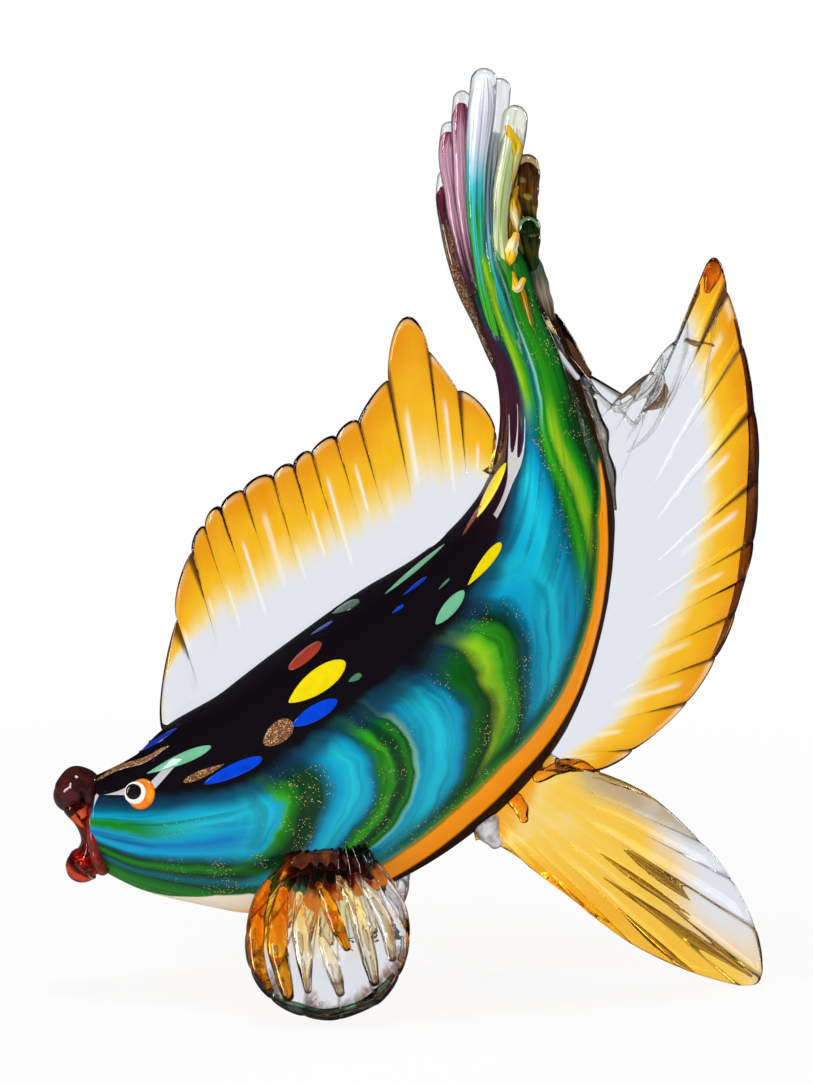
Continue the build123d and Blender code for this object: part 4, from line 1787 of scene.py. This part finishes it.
@dataclass
class Eye:
    """One eye: an orange bead, a white one on it that looks toward the nose, and a black pupil.

    Spots are columns and rows, and each bead has a radius and a rise.
    """

    side: Side
    spot: tuple[float, float] = (141.5, 794.0)
    white_spot: tuple[float, float] = (135.4, 792.9)
    pupil_spot: tuple[float, float] = (133.4, 791.6)
    bead: tuple[float, float] = (0.0047, 0.002)
    white: tuple[float, float] = (0.0034, 0.0012)
    pupil: tuple[float, float] = (0.0024, 0.0009)
    white_out: float = 0.0021
    pupil_out: float = 0.001
    around: int = 48
    rings: int = 20

    def dome(self, name: str, centre: Vector, axis: Vector, size: tuple[float, float]) -> Piece:
        """A low bead of glass.

        Args:
            name: The piece's name.
            centre: The middle of its foot.
            axis: The way that it faces.
            size: Its radius, and how far it stands up.

        Returns:
            The object.
        """
        radius, rise = size
        side = axis.orthogonal().normalized()
        other = axis.cross(side)
        points, marks = [], []
        for turn in np.linspace(-0.9, QUARTER_TURN - 0.02, self.rings):
            ring = radius * math.cos(turn) if turn > 0 else radius * math.cos(turn * 0.5)
            for angle in np.arange(self.around) * FULL_TURN / self.around:
                out = (side * math.cos(angle) + other * math.sin(angle)) * ring
                points.append(tuple(centre + axis * (rise * math.sin(turn)) + out))
                marks.append(1 - ring / radius)
        faces = ring_faces(self.rings, self.around)
        return outward(make_piece(name, np.array(points), faces, {"edge": np.array(marks)}))

    def build(self, skin: BVHTree) -> None:
        """Makes the eye's three beads on the body's surface.

        Args:
            skin: The body's surface.
        """
        where, axis = on_skin(skin, *self.spot)
        gaze = (axis * 0.7 + Vector((0, -1, 0.17))).normalized()
        white_at = PHOTO.place_on(*self.white_spot, where + axis * self.white_out, gaze)
        pupil_at = PHOTO.place_on(*self.pupil_spot, white_at + gaze * self.pupil_out, gaze)
        orange = GlossGlass("orange eye glass", (0.8, 0.16, 0.008), (0.92, 0.3, 0.02), (0.22, 0.03, 0.004))
        cream = GlossGlass("white eye glass", (0.86, 0.85, 0.8), (0.74, 0.73, 0.68), (0.52, 0.5, 0.46))
        black = GlossGlass("black pupil glass", (0.004, 0.003, 0.004), (0.012, 0.008, 0.01), (0.002, 0.002, 0.002))
        name, flip = self.side.name.lower(), (1, -self.side.value, 1)
        for label, node, centre, way, size, finish, slot in (
            ("bead", "ball", where, axis, self.bead, orange, "orange_eye"),
            ("cap", "white", white_at, gaze, self.white, cream, "white_eye"),
            ("dot", "pupil", pupil_at, gaze, self.pupil, black, "black_pupil"),
        ):
            centre, way = (Vector(a * b for a, b in zip(v, flip)) for v in (centre, way))
            piece = self.dome(f"{name}_eye_{label}", centre, way, size)
            settle(piece, finish, slot, f"{name}_eye_{node}")


@dataclass
class Mouth:
    """The lips, two beads of dark and red glass, and the red web and folds between them.

    Each line is rows of column and row in pixels and radius in metres.
    """

    upper: Line = ((70, 795, 0.0051), (74, 789, 0.0058), (80, 786, 0.0059), (86, 787, 0.005), (90, 793, 0.0044))
    lower: Line = ((82, 866, 0.005), (84, 864, 0.0052), (90, 862, 0.0044), (98, 860, 0.004), (106, 858, 0.0034))
    web: Line = (
        (74, 805, 0.0034), (81, 815, 0.003), (87, 826, 0.0028), (90, 838, 0.0029), (90, 848, 0.0033),
        (86, 859, 0.004),
    )
    fold: Line = ((91, 806, 0.0014), (93, 822, 0.0024), (96, 840, 0.003), (99, 855, 0.0031), (103, 865, 0.0026))

    def build(self) -> None:
        """Makes the lips, the web and the fold, each widened across the fish."""
        plum = GlossGlass("red fold glass", (0.13, 0.012, 0.01), (0.26, 0.024, 0.014), (0.03, 0.004, 0.003))
        dark = GlossGlass("dark lip glass", (0.03, 0.006, 0.006), (0.06, 0.008, 0.008), (0.008, 0.002, 0.002))
        red = StreakedGlass("red lip glass", (0.62, 0.055, 0.012), (0.8, 0.13, 0.02), (0.05, 0.004, 0.002), 0.6)
        for name, rows, widen, finish, slot, *nodes in (
            ("upper_lip_bead", self.upper, 1.35, dark, "dark_lip", "upper_lip"),
            ("lower_lip_bead", self.lower, 1.3, red, "red_lip", "lower_lip"),
            ("mouth_web", self.web, 2.2, red, "red_web", "lip_web"),
            ("mouth_fold", self.fold, 3.4, plum, "red_web"),
        ):
            path = [(*PHOTO.place(column, row), radius) for column, row, radius in rows]
            piece = rod(name, path, 40, 40, 0.05)
            for vertex in piece.data.vertices:
                vertex.co.y *= widen
            settle(piece, finish, slot, *nodes)


@dataclass
class Quills:
    """What lies inside each pectoral fin: drawn bars of colour, a dark cuff at the root and a dark rim.

    Each line is rows of column, row and radius in pixels.
    """

    side: Side
    origin: Vector
    normal: Vector
    out: float = 0.0022
    cuff_out: float = 0.0004
    ambers: tuple[Line, ...] = (
        ((268, 884, 5), (259, 908, 8.5), (255, 940, 9), (259, 968, 8), (270, 990, 4)),
        ((283, 892, 6), (278, 920, 10), (280, 960, 10.5), (288, 996, 6)),
        ((318, 886, 4), (328, 905, 7.5), (338, 928, 7.5), (347, 948, 4)),
    )
    creams: tuple[Line, ...] = (
        ((299, 896, 5), (300, 925, 8), (304, 960, 8), (308, 990, 4)),
        ((340, 880, 4), (354, 908, 8), (366, 945, 9), (374, 982, 5)),
        ((356, 876, 3), (373, 900, 7), (386, 928, 7.5), (392, 958, 4)),
        ((322, 940, 4), (332, 965, 7.5), (340, 992, 5)),
    )
    cuff: Line = ((280, 882, 4), (294, 867, 11), (322, 860, 14), (350, 864, 11), (370, 878, 4))
    rim: Line = (
        (272, 996, 2), (288, 1006, 4.5), (306, 1010, 3.5), (324, 1013, 5), (344, 1009, 3.5), (362, 1003, 4.5),
        (380, 991, 3), (392, 976, 2),
    )

    def line(self, rows: Line, out: float) -> list[tuple[float, ...]]:
        """A line's points and radii, in the fin's plane moved out toward the camera."""
        plane, scale = self.origin - self.normal * out, PHOTO.metres_per_pixel
        return [(*PHOTO.place_on(*pixel, plane, self.normal), radius * scale) for *pixel, radius in rows]

    def build(self) -> None:
        """Makes the bars, the cuff and the rim of one fin."""
        amber = StreakedGlass("amber bar glass", (0.93, 0.5, 0.035), (0.8, 0.26, 0.008), (0.2, 0.055, 0.008), 0.8, 5)
        cream = StreakedGlass("pale bar glass", (0.92, 0.9, 0.86), (0.93, 0.72, 0.34), (0.16, 0.12, 0.08), 0.8, 5)
        cuff = GlossGlass("red-brown cuff glass", (0.045, 0.011, 0.005), (0.15, 0.036, 0.008), (0.012, 0.004, 0.002))
        teal = StreakedGlass("teal rim glass", (0.1, 0.3, 0.23), (0.34, 0.15, 0.03), (0.01, 0.035, 0.028), 0.9, 10)
        lines = [(f"amber_bar_{i + 1}", rows, self.out, amber, 0.08) for i, rows in enumerate(self.ambers)]
        lines += [(f"pale_bar_{i + 1}", rows, self.out, cream, 0.08) for i, rows in enumerate(self.creams)]
        lines += [("cuff", self.cuff, self.cuff_out, cuff, 0.22), ("teal_rim", self.rim, 0.0, teal, 0.5)]
        for index, (label, rows, out, finish, lumps) in enumerate(lines):
            name = f"{self.side.name.lower()}_{label}"
            piece = rod(name, self.line(rows, out), 22, 70, lumps, SEED + index)
            if self.side is Side.RIGHT:
                piece.data.flip_normals()
            for vertex in piece.data.vertices:
                vertex.co.y *= -self.side.value
                vertex.co.z = max(vertex.co.z, 0.0)
            settle(piece, finish, "golden_fin")


@dataclass(frozen=True)
class Flute:
    """One drawn flute of the tail: rows of column, row, out in millimetres and radius in pixels, and glass.

    The core starts a share of the way down from the tip, and is a share as thick as the flute.
    """

    name: str
    node: str
    slot: str
    rows: Line
    shell: Finish
    core: Finish
    core_start: float = 0.04
    core_share: float = 0.74
    core_rows: int = 40

    def build(self, seed: int) -> None:
        """Makes the clear rod and the coloured core inside it, with the unevenness of a seed.

        Args:
            seed: Which unevenness it gets.
        """
        settle(rod(self.name, traced(self.rows), 32, 90, 0.08, seed), self.shell, self.slot, self.node)
        path = smooth_path(traced(self.rows, share=self.core_share), self.core_rows)
        line = path[int(self.core_rows * self.core_start):]
        line[:, 3] *= ease(np.linspace(0, 1, len(line)), -0.1, 0.1)
        settle(rod(f"{self.name}_core", line, 28, 80, 0.1, seed + 50), self.core, self.slot)


@dataclass
class Tail:
    """The tail: drawn flutes of clear and coloured glass, each ending in a rounded bead."""

    white: Colour = (0.78, 0.77, 0.84)
    lilac: Colour = (0.6, 0.56, 0.66)
    aqua: Colour = (0.05, 0.44, 0.5)
    blue: Colour = (0.02, 0.3, 0.5)
    teal: Colour = (0.01, 0.2, 0.2)
    green: Colour = (0.02, 0.3, 0.03)
    leaf: Colour = (0.07, 0.42, 0.02)
    cream: Colour = (0.8, 0.78, 0.58)
    gold: Colour = (0.84, 0.52, 0.03)
    amber: Colour = (0.86, 0.45, 0.01)
    maroon: Colour = (0.15, 0.01, 0.035)
    pink: Colour = (0.57, 0.31, 0.39)
    mauve: Colour = (0.4, 0.2, 0.27)
    plum: Colour = (0.045, 0.008, 0.018)
    rust: Colour = (0.12, 0.045, 0.03)
    olive: Colour = (0.1, 0.09, 0.012)

    white_core: Finish = CoreGlass(
        "white core glass",
        ((0.0, white), (0.22, lilac), (0.34, aqua), (0.44, green), (1.0, leaf)),
        ((0.0, white), (0.22, white), (0.36, aqua), (0.62, aqua), (0.75, leaf)),
    )
    clear_core: Finish = CoreGlass(
        "smoky core glass",
        ((0.0, lilac), (0.2, teal), (0.45, blue), (0.7, teal), (1.0, green)),
        ((0.0, white), (0.3, lilac), (0.55, aqua), (0.75, green), (1.0, leaf)),
    )
    green_core: Finish = CoreGlass(
        "cream core glass",
        ((0.0, white), (0.2, cream), (0.5, cream), (0.8, cream), (1.0, green)),
        ((0.0, white), (0.16, white), (0.5, cream), (0.75, green), (0.9, teal)),
        0.7,
    )
    web_core: Finish = CoreGlass(
        "web core glass",
        ((0.0, cream), (0.3, amber), (0.55, green), (0.75, amber), (1.0, cream)),
        ((0.0, olive), (0.35, olive), (0.55, teal), (0.7, olive), (1.0, green)),
        0.9, 3.2,
    )
    rose_core: Finish = CoreGlass(
        "rose core glass",
        ((0.0, maroon), (0.1, maroon), (0.15, pink), (0.35, pink), (0.6, mauve),
         (0.9, plum)),
        ((0.0, maroon), (0.16, mauve), (0.45, mauve), (0.7, plum), (1.0, plum)),
    )
    plum_core: Finish = CoreGlass(
        "plum core glass",
        ((0.0, maroon), (0.07, maroon), (0.12, pink), (0.5, pink), (0.7, mauve),
         (0.9, plum)),
        ((0.0, maroon), (0.12, mauve), (0.55, mauve), (0.75, plum), (1.0, plum)),
    )
    copper_core: Finish = CoreGlass(
        "copper core glass",
        ((0.0, plum), (0.16, plum), (0.28, rust), (0.8, rust), (1.0, plum)),
        ((0.0, maroon), (0.2, plum), (0.4, rust), (0.8, plum), (1.0, plum)),
        flakes=0.6,
    )
    bead_core: Finish = CoreGlass(
        "bead core glass",
        ((0.0, (0.1, 0.05, 0.022)), (0.35, (0.15, 0.085, 0.02)), (0.6, (0.24, 0.18, 0.015)),
         (1.0, olive)),
        ((0.0, (0.035, 0.015, 0.008)), (0.4, (0.34, 0.22, 0.06)), (0.7, (0.06, 0.055, 0.01)),
         (1.0, olive)),
        0.85,
    )
    knot_core: Finish = CoreGlass(
        "knot core glass",
        ((0.0, (0.01, 0.07, 0.025)), (0.25, (0.008, 0.05, 0.02)), (0.4, (0.42, 0.19, 0.015)),
         (0.55, olive), (1.0, (0.05, 0.06, 0.03))),
        ((0.0, (0.004, 0.02, 0.008)), (0.3, (0.3, 0.15, 0.02)), (0.5, (0.02, 0.1, 0.04)),
         (1.0, (0.04, 0.09, 0.06))),
        0.85,
    )
    stalk: Finish = CoreGlass(
        "smoky stalk glass",
        ((0.0, olive), (0.25, (0.1, 0.085, 0.055)), (0.55, (0.2, 0.17, 0.13)), (0.8, (0.09, 0.055, 0.035)),
         (1.0, (0.05, 0.03, 0.02))),
        ((0.0, teal), (0.3, (0.04, 0.07, 0.04)), (0.6, (0.32, 0.27, 0.2)), (1.0, (0.12, 0.07, 0.045))),
    )
    milk: Finish = CoreGlass("milky trail glass", ((0.0, lilac), (1.0, white)), ((0.0, white), (1.0, lilac)), 0.6)
    window: Finish = CoreGlass(
        "yellow window glass",
        ((0.0, amber), (0.35, gold), (0.6, cream), (1.0, amber)),
        ((0.0, amber), (0.5, gold), (1.0, amber)),
        0.6,
    )
    clear_glass: Finish = StreakedGlass(
        "clear flute glass", (0.86, 0.88, 0.9), (0.62, 0.65, 0.66), (0.05, 0.06, 0.06), 0.7, 8
    )
    sage_glass: Finish = StreakedGlass(
        "sage flute glass", (0.84, 0.85, 0.76), (0.26, 0.38, 0.13), (0.05, 0.045, 0.015), 0.75, 6
    )
    brown_glass: Finish = StreakedGlass(
        "brown bead glass", (0.48, 0.33, 0.15), (0.24, 0.15, 0.05), (0.03, 0.015, 0.005), 0.6, 8
    )
    olive_glass: Finish = StreakedGlass(
        "olive bead glass", (0.13, 0.27, 0.11), (0.26, 0.2, 0.04), (0.01, 0.02, 0.007), 0.6, 8
    )
    web_glass: Finish = StreakedGlass(
        "web flute glass", (0.74, 0.72, 0.46), (0.5, 0.4, 0.12), (0.09, 0.07, 0.02), 0.7, 6
    )
    white_glass: Finish = StreakedGlass(
        "white trail glass", (0.84, 0.84, 0.86), (0.66, 0.64, 0.66), (0.16, 0.15, 0.15), 0.6, 7
    )
    dark_glass: Finish = StreakedGlass(
        "brown trail glass", (0.11, 0.042, 0.018), (0.05, 0.02, 0.011), (0.02, 0.008, 0.004), 0.7, 6
    )
    # From the middle outward
    flutes: tuple[Flute, ...] = (
        Flute(
            "white_flute", "tail_lobe_white", "milky_lobe",
            ((484, 81, -2, 13), (482, 110, -2.5, 13), (478, 150, -3, 11.5), (476, 200, -4, 10),
             (479, 250, -5.0, 9), (488, 300, -5.0, 8), (500, 345, -3.6, 6), (510, 372, -1.5, 5)),
            clear_glass, white_core, 0.0, 0.8,
        ),
        Flute(
            "clear_flute", "tail_lobe_clear", "clear_lobe",
            ((499, 89, 1, 11), (497, 120, 1, 10.5), (492, 165, 0, 9), (489, 210, -3, 8.5), (491, 245, -5, 8),
             (498, 285, -6.9, 7.5), (510, 325, -7.6, 6.5), (526, 375, -6.0, 5)),
            clear_glass, clear_core, 0.16, 0.56,
        ),
        Flute(
            "green_flute", "tail_lobe_green", "green_lobe",
            ((515, 118, -2, 13), (511, 145, -2, 12.5), (504, 180, -3, 11), (500, 215, -4, 10),
             (501, 250, -6, 9), (508, 290, -6.6, 8), (518, 330, -6, 6)),
            sage_glass, green_core, 0.05, 0.66,
        ),
        Flute(
            "rose_flute", "tail_lobe_rose", "rose_lobe",
            ((462, 100, 0, 9.5), (461, 125, 0, 9.5), (462, 160, 0, 9.5), (464, 200, -2, 8.5),
             (469, 240, -4, 7.5), (478, 280, -4.0, 7), (492, 325, -2, 6)),
            clear_glass, rose_core,
        ),
        Flute(
            "plum_flute", "tail_lobe_plum", "plum_lobe",
            ((450, 131, 2, 9.5), (448, 150, 2, 10), (451, 180, 2, 9.5), (456, 215, 0, 8), (463, 250, -2, 7),
             (474, 290, -4, 6)),
            clear_glass, plum_core, core_share=0.76,
        ),
        Flute(
            "copper_flute", "tail_lobe_copper", "copper_lobe",
            ((446, 178, 4, 8.5), (444, 196, 4, 8.5), (447, 222, 4, 8), (453, 252, 2, 8), (462, 285, 0, 7.5),
             (478, 320, 0.5, 6.5), (491, 350, 0.5, 6), (506, 380, 0, 5)),
            clear_glass, copper_core, 0.05,
        ),
        Flute(
            "amber_flute", "tail_lobe_amber", "amber_lobe",
            ((527, 166, 0, 12), (527, 180, 0, 12.8), (526, 195, 0, 12.2), (528, 207, 0, 9.5), (531, 218, 1, 6)),
            brown_glass, bead_core, 0.05, 0.92,
        ),
        Flute(
            "olive_flute", "tail_lobe_olive", "olive_lobe",
            ((529, 228, -3, 12), (530, 240, -3, 10.5), (531, 254, -3.5, 8), (534, 270, -3, 6.5),
             (539, 288, -2, 5)),
            olive_glass, knot_core, 0.0, 0.92,
        ),
    )
    # The web stands for the whole pinched trail, and the lines of the trail lie on it and below it
    web: Flute = Flute(
        "tail_web", "tail_trail", "amber_lobe",
        ((514, 152, -1, 9), (510, 180, -1, 10), (512, 205, -1, 12), (511, 230, -2, 11), (514, 252, -3, 12),
         (513, 272, -4, 10), (519, 292, -5, 11), (526, 315, -6, 8), (534, 338, -6, 6)),
        web_glass, web_core, 0.06,
    )
    trail: tuple[tuple[str, Finish, Line], ...] = (
        ("white_trail", white_glass,
         ((539, 312, -5, 5), (551, 335, -4.5, 6), (563, 354, -3.5, 5.5), (575, 370, -3, 6.5),
          (586, 384, -2, 7))),
        ("milky_trail", milk,
         ((546, 337, -6.6, 2), (555, 350, -6.2, 3.2), (565, 363, -5.2, 3.4), (577, 377, -4.2, 3))),
        ("brown_trail", dark_glass,
         ((554, 318, -1, 5), (560, 328, -1, 6), (569, 343, -1, 6), (579, 360, -1, 5.5), (588, 373, -1, 4))),
        ("smoky_stalk", stalk,
         ((532, 256, -2.4, 5), (536, 270, -2.6, 8), (541, 290, -2.8, 8.5), (547, 307, -2.6, 7.5),
          (552, 320, -2, 4.5))),
        ("amber_glow", window, ((537, 322, -5.6, 2.5), (546, 325, -5.0, 4), (553, 331, -4.0, 3))),
        ("amber_streak", window,
         ((510, 128, -2.6, 3), (515, 146, -3.2, 5), (514, 164, -3.4, 4.5), (510, 182, -3.4, 2.5))),
        ("amber_curl", window,
         ((517, 188, -2.6, 2.5), (512, 204, -3.2, 4.5), (515, 221, -3.8, 4.5), (519, 238, -3.6, 2.5))),
        ("yellow_window", window, ((507, 264, -7.0, 4), (511, 250, -6.9, 7), (516, 235, -6.2, 3.5))),
        ("amber_window", window, ((512, 274, -7.3, 3), (517, 288, -7.7, 5.5), (523, 280, -7.3, 3))),
    )

    def build(self) -> None:
        """Makes the flutes, the web between them and the pinched trail below them."""
        for index, flute in enumerate(self.flutes):
            flute.build(SEED + index)
        self.web.build(SEED + 20)
        for name, finish, rows in self.trail:
            settle(rod(name, traced(rows), 28, 90, 0.12), finish, "amber_lobe")


def chip_sets() -> list[ChipSet]:
    """The chips of the flank, colour by colour.

    Returns:
        The sets.
    """
    yellow = ChipGlass("yellow chip glass", (0.64, 0.52, 0.002), (0.52, 0.38, 0.002))
    blue = ChipGlass("blue chip glass", (0.001, 0.042, 0.5), (0.001, 0.018, 0.24))
    mint = ChipGlass("mint chip glass", (0.13, 0.37, 0.22), (0.08, 0.27, 0.16))
    red = ChipGlass("red chip glass", (0.26, 0.03, 0.016), (0.13, 0.012, 0.008))
    copper = ChipGlass("copper chip glass", (0.13, 0.05, 0.022), (0.035, 0.012, 0.006), 0.62)
    return [
        ChipSet("yellow_leaves", "yellow_chips", "yellow_chip", yellow, (
            Chip(317, 682, 70, 30, 36, 0.8, 0.6), Chip(484.5, 564, 54, 14, 52),
            Chip(491.5, 490, 62, 12, 62, 0.8, 0.7),
        )),
        ChipSet("blue_leaves", "blue_chips", "blue_chip", blue, (
            Chip(315, 713, 52, 20, 30, 0.7, 0.6), Chip(233, 771, 64, 17, 24, 0.7),
            Chip(158, 740, 46, 6, 32, 0.9, 0.9, tone=0.6), Chip(322, 628, 26, 4, 32, tone=0.4),
            Chip(415, 586, 30, 4, 38, tone=0.8), Chip(398, 609, 14, 4, 35),
        )),
        ChipSet("mint_leaves", "mint_chips", "mint_chip", mint, (
            Chip(179, 760, 70, 14, 23, 1.0, 0.6), Chip(450, 607.5, 44, 17, 50, 0.7, 0.6),
            Chip(415, 569, 78, 6, 40, 0.9, 0.9, tone=0.8), Chip(355, 678, 15, 8, 30, tone=0.4),
            Chip(346, 607, 30, 10, 26, tone=0.14), Chip(444, 584, 16, 3, 45, tone=0.4),
        )),
        ChipSet("red_leaves", "red_chips", "red_chip", red, (
            Chip(305, 656, 42, 15, 40, 0.5, 0.45), Chip(473, 519, 40, 5, 58, tone=0.6),
        )),
        ChipSet("copper_leaves", "copper_chips", "copper_chip", copper, (
            Chip(278, 733, 36, 26, 40, 0.6, 0.45), Chip(204, 773, 44, 10, 204),
            Chip(131, 764, 86, 7, 23, 0.9, 0.7, 1.5),
        )),
    ]


@dataclass
class Studio:
    """The table, the lamps, the surroundings and the camera."""

    floor_size: float = 6.0
    ambient: float = 0.3
    mirrored: float = 0.04

    def floor(self) -> None:
        """Lays the table."""
        half = self.floor_size / 2
        corners = np.array([(-half, -half, 0), (half, -half, 0), (half, half, 0), (-half, half, 0)], float)
        table = FloorPaint().dress(make_piece("table", corners, [(0, 1, 2, 3)]))

    def lamp(
        self, name: str, where: Vector, size: tuple[float, float], watts: float, mirrored: bool = True
    ) -> None:
        """Hangs a softbox that faces the figurine.

        Args:
            name: The lamp's name.
            where: Where it hangs.
            size: Its width and height.
            watts: Its power.
            mirrored: Whether the glass mirrors it.
        """
        data = bpy.data.lights.new(name, "AREA")
        data.shape = "RECTANGLE"
        data.size, data.size_y = size
        data.energy = watts
        lamp = bpy.data.objects.new(name, data)
        bpy.context.scene.collection.objects.link(lamp)
        lamp.location = where
        aim = Vector((0, 0, HEIGHT / 2))
        lamp.rotation_euler = (aim - where).to_track_quat("-Z", "Y").to_euler()
        lamp.visible_camera = False
        lamp.visible_glossy = mirrored

    def lamps(self) -> None:
        """Hangs the softboxes."""
        self.lamp("tall softbox", Vector((-1.12, -0.4, 0.44)), (0.22, 0.8), 7.4)
        self.lamp("front softbox", Vector((0.55, -1.25, 0.75)), (0.9, 0.9), 9.0, False)
        self.lamp("left softbox", Vector((-0.85, -0.85, 0.45)), (0.5, 0.8), 7.0, False)
        self.lamp("rear softbox", Vector((0.95, 0.75, 0.45)), (0.16, 0.6), 4.0)
        self.lamp("top softbox", Vector((0.05, 0.1, 1.2)), (0.36, 0.24), 3.5)

    def surroundings(self) -> None:
        """Makes the world: white behind the figurine, dimmer as a light and in reflections."""
        world = bpy.data.worlds.new("white room")
        bpy.context.scene.world = world
        world.use_nodes = True
        world.node_tree.nodes.clear()
        g = Graph(world.node_tree)
        path = g.add("ShaderNodeLightPath")
        seen = g.larger(path.outputs["Is Camera Ray"], path.outputs["Is Transmission Ray"])
        dull = g.times_plus(path.outputs["Is Glossy Ray"], self.mirrored - self.ambient, self.ambient)
        strength = g.plus(seen, g.times(g.rest(seen), dull))
        background = g.add("ShaderNodeBackground")
        g.feed(background.inputs["Strength"], strength)
        g.feed(background.inputs["Color"], (1.0, 1.0, 1.0))
        g.feed(g.add("ShaderNodeOutputWorld").inputs["Surface"], background.outputs[0])

    def camera(self) -> None:
        """Sets up the camera at the photograph's angle, with a view that reaches past the table's edge."""
        data = bpy.data.cameras.new("photograph")
        data.lens = PHOTO.lens
        data.sensor_width = PHOTO.sensor
        data.clip_end = 20
        camera = bpy.data.objects.new("photograph", data)
        bpy.context.scene.collection.objects.link(camera)
        camera.location = PHOTO.eye
        camera.rotation_euler = (math.pi / 2 - PHOTO.elevation, 0, 0)
        bpy.context.scene.camera = camera

    def build(self) -> None:
        """Sets up everything round the figurine."""
        self.floor()
        self.lamps()
        self.surroundings()
        self.camera()
        bpy.context.scene.view_settings.view_transform = "Standard"


def main() -> None:
    """Builds the figurine's pieces in order, and the studio round them."""
    logging.basicConfig(level=logging.INFO, format="%(name)s %(message)s")
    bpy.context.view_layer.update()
    Studio().build()
    body = BlownBody()
    body.build()
    skin = body.skin()
    for chips in chip_sets():
        chips.build(skin)
    for side in Side:
        Eye(side).build(skin)
    Mouth().build()
    fin, leaf, paddle = FinGlass(), LeafGlass(), PaddleGlass()
    RibbedFin("dorsal_blade", "dorsal_fin", "amber_fin", DORSAL_RIBS, fin, 0.0064).build()
    RibbedFin("anal_blade", "anal_fin", "amber_fin", ANAL_RIBS, fin, 0.0066).build()
    Folds().build()
    RibbedFin("pelvic_blade", "pelvic_fin", "golden_fin", PELVIC_RIBS, leaf, 0.0076).build()
    root = Vector((0, Side.LEFT.value * 0.022, 0.0445))
    drop = Vector((0, Side.LEFT.value * 0.033, -0.0445))
    lean = Vector((1, 0, 0)).cross(drop).normalized()
    for side in Side:
        name = side.name.lower()
        blade, node = f"{name}_pectoral_blade", f"{name}_pectoral_fin"
        RibbedFin(blade, node, "golden_fin", PECTORAL_RIBS, paddle, 0.0086, root, lean, side).build()
        Quills(side, root, lean).build()
    Tail().build()


if __name__ == "__main__":
    main()
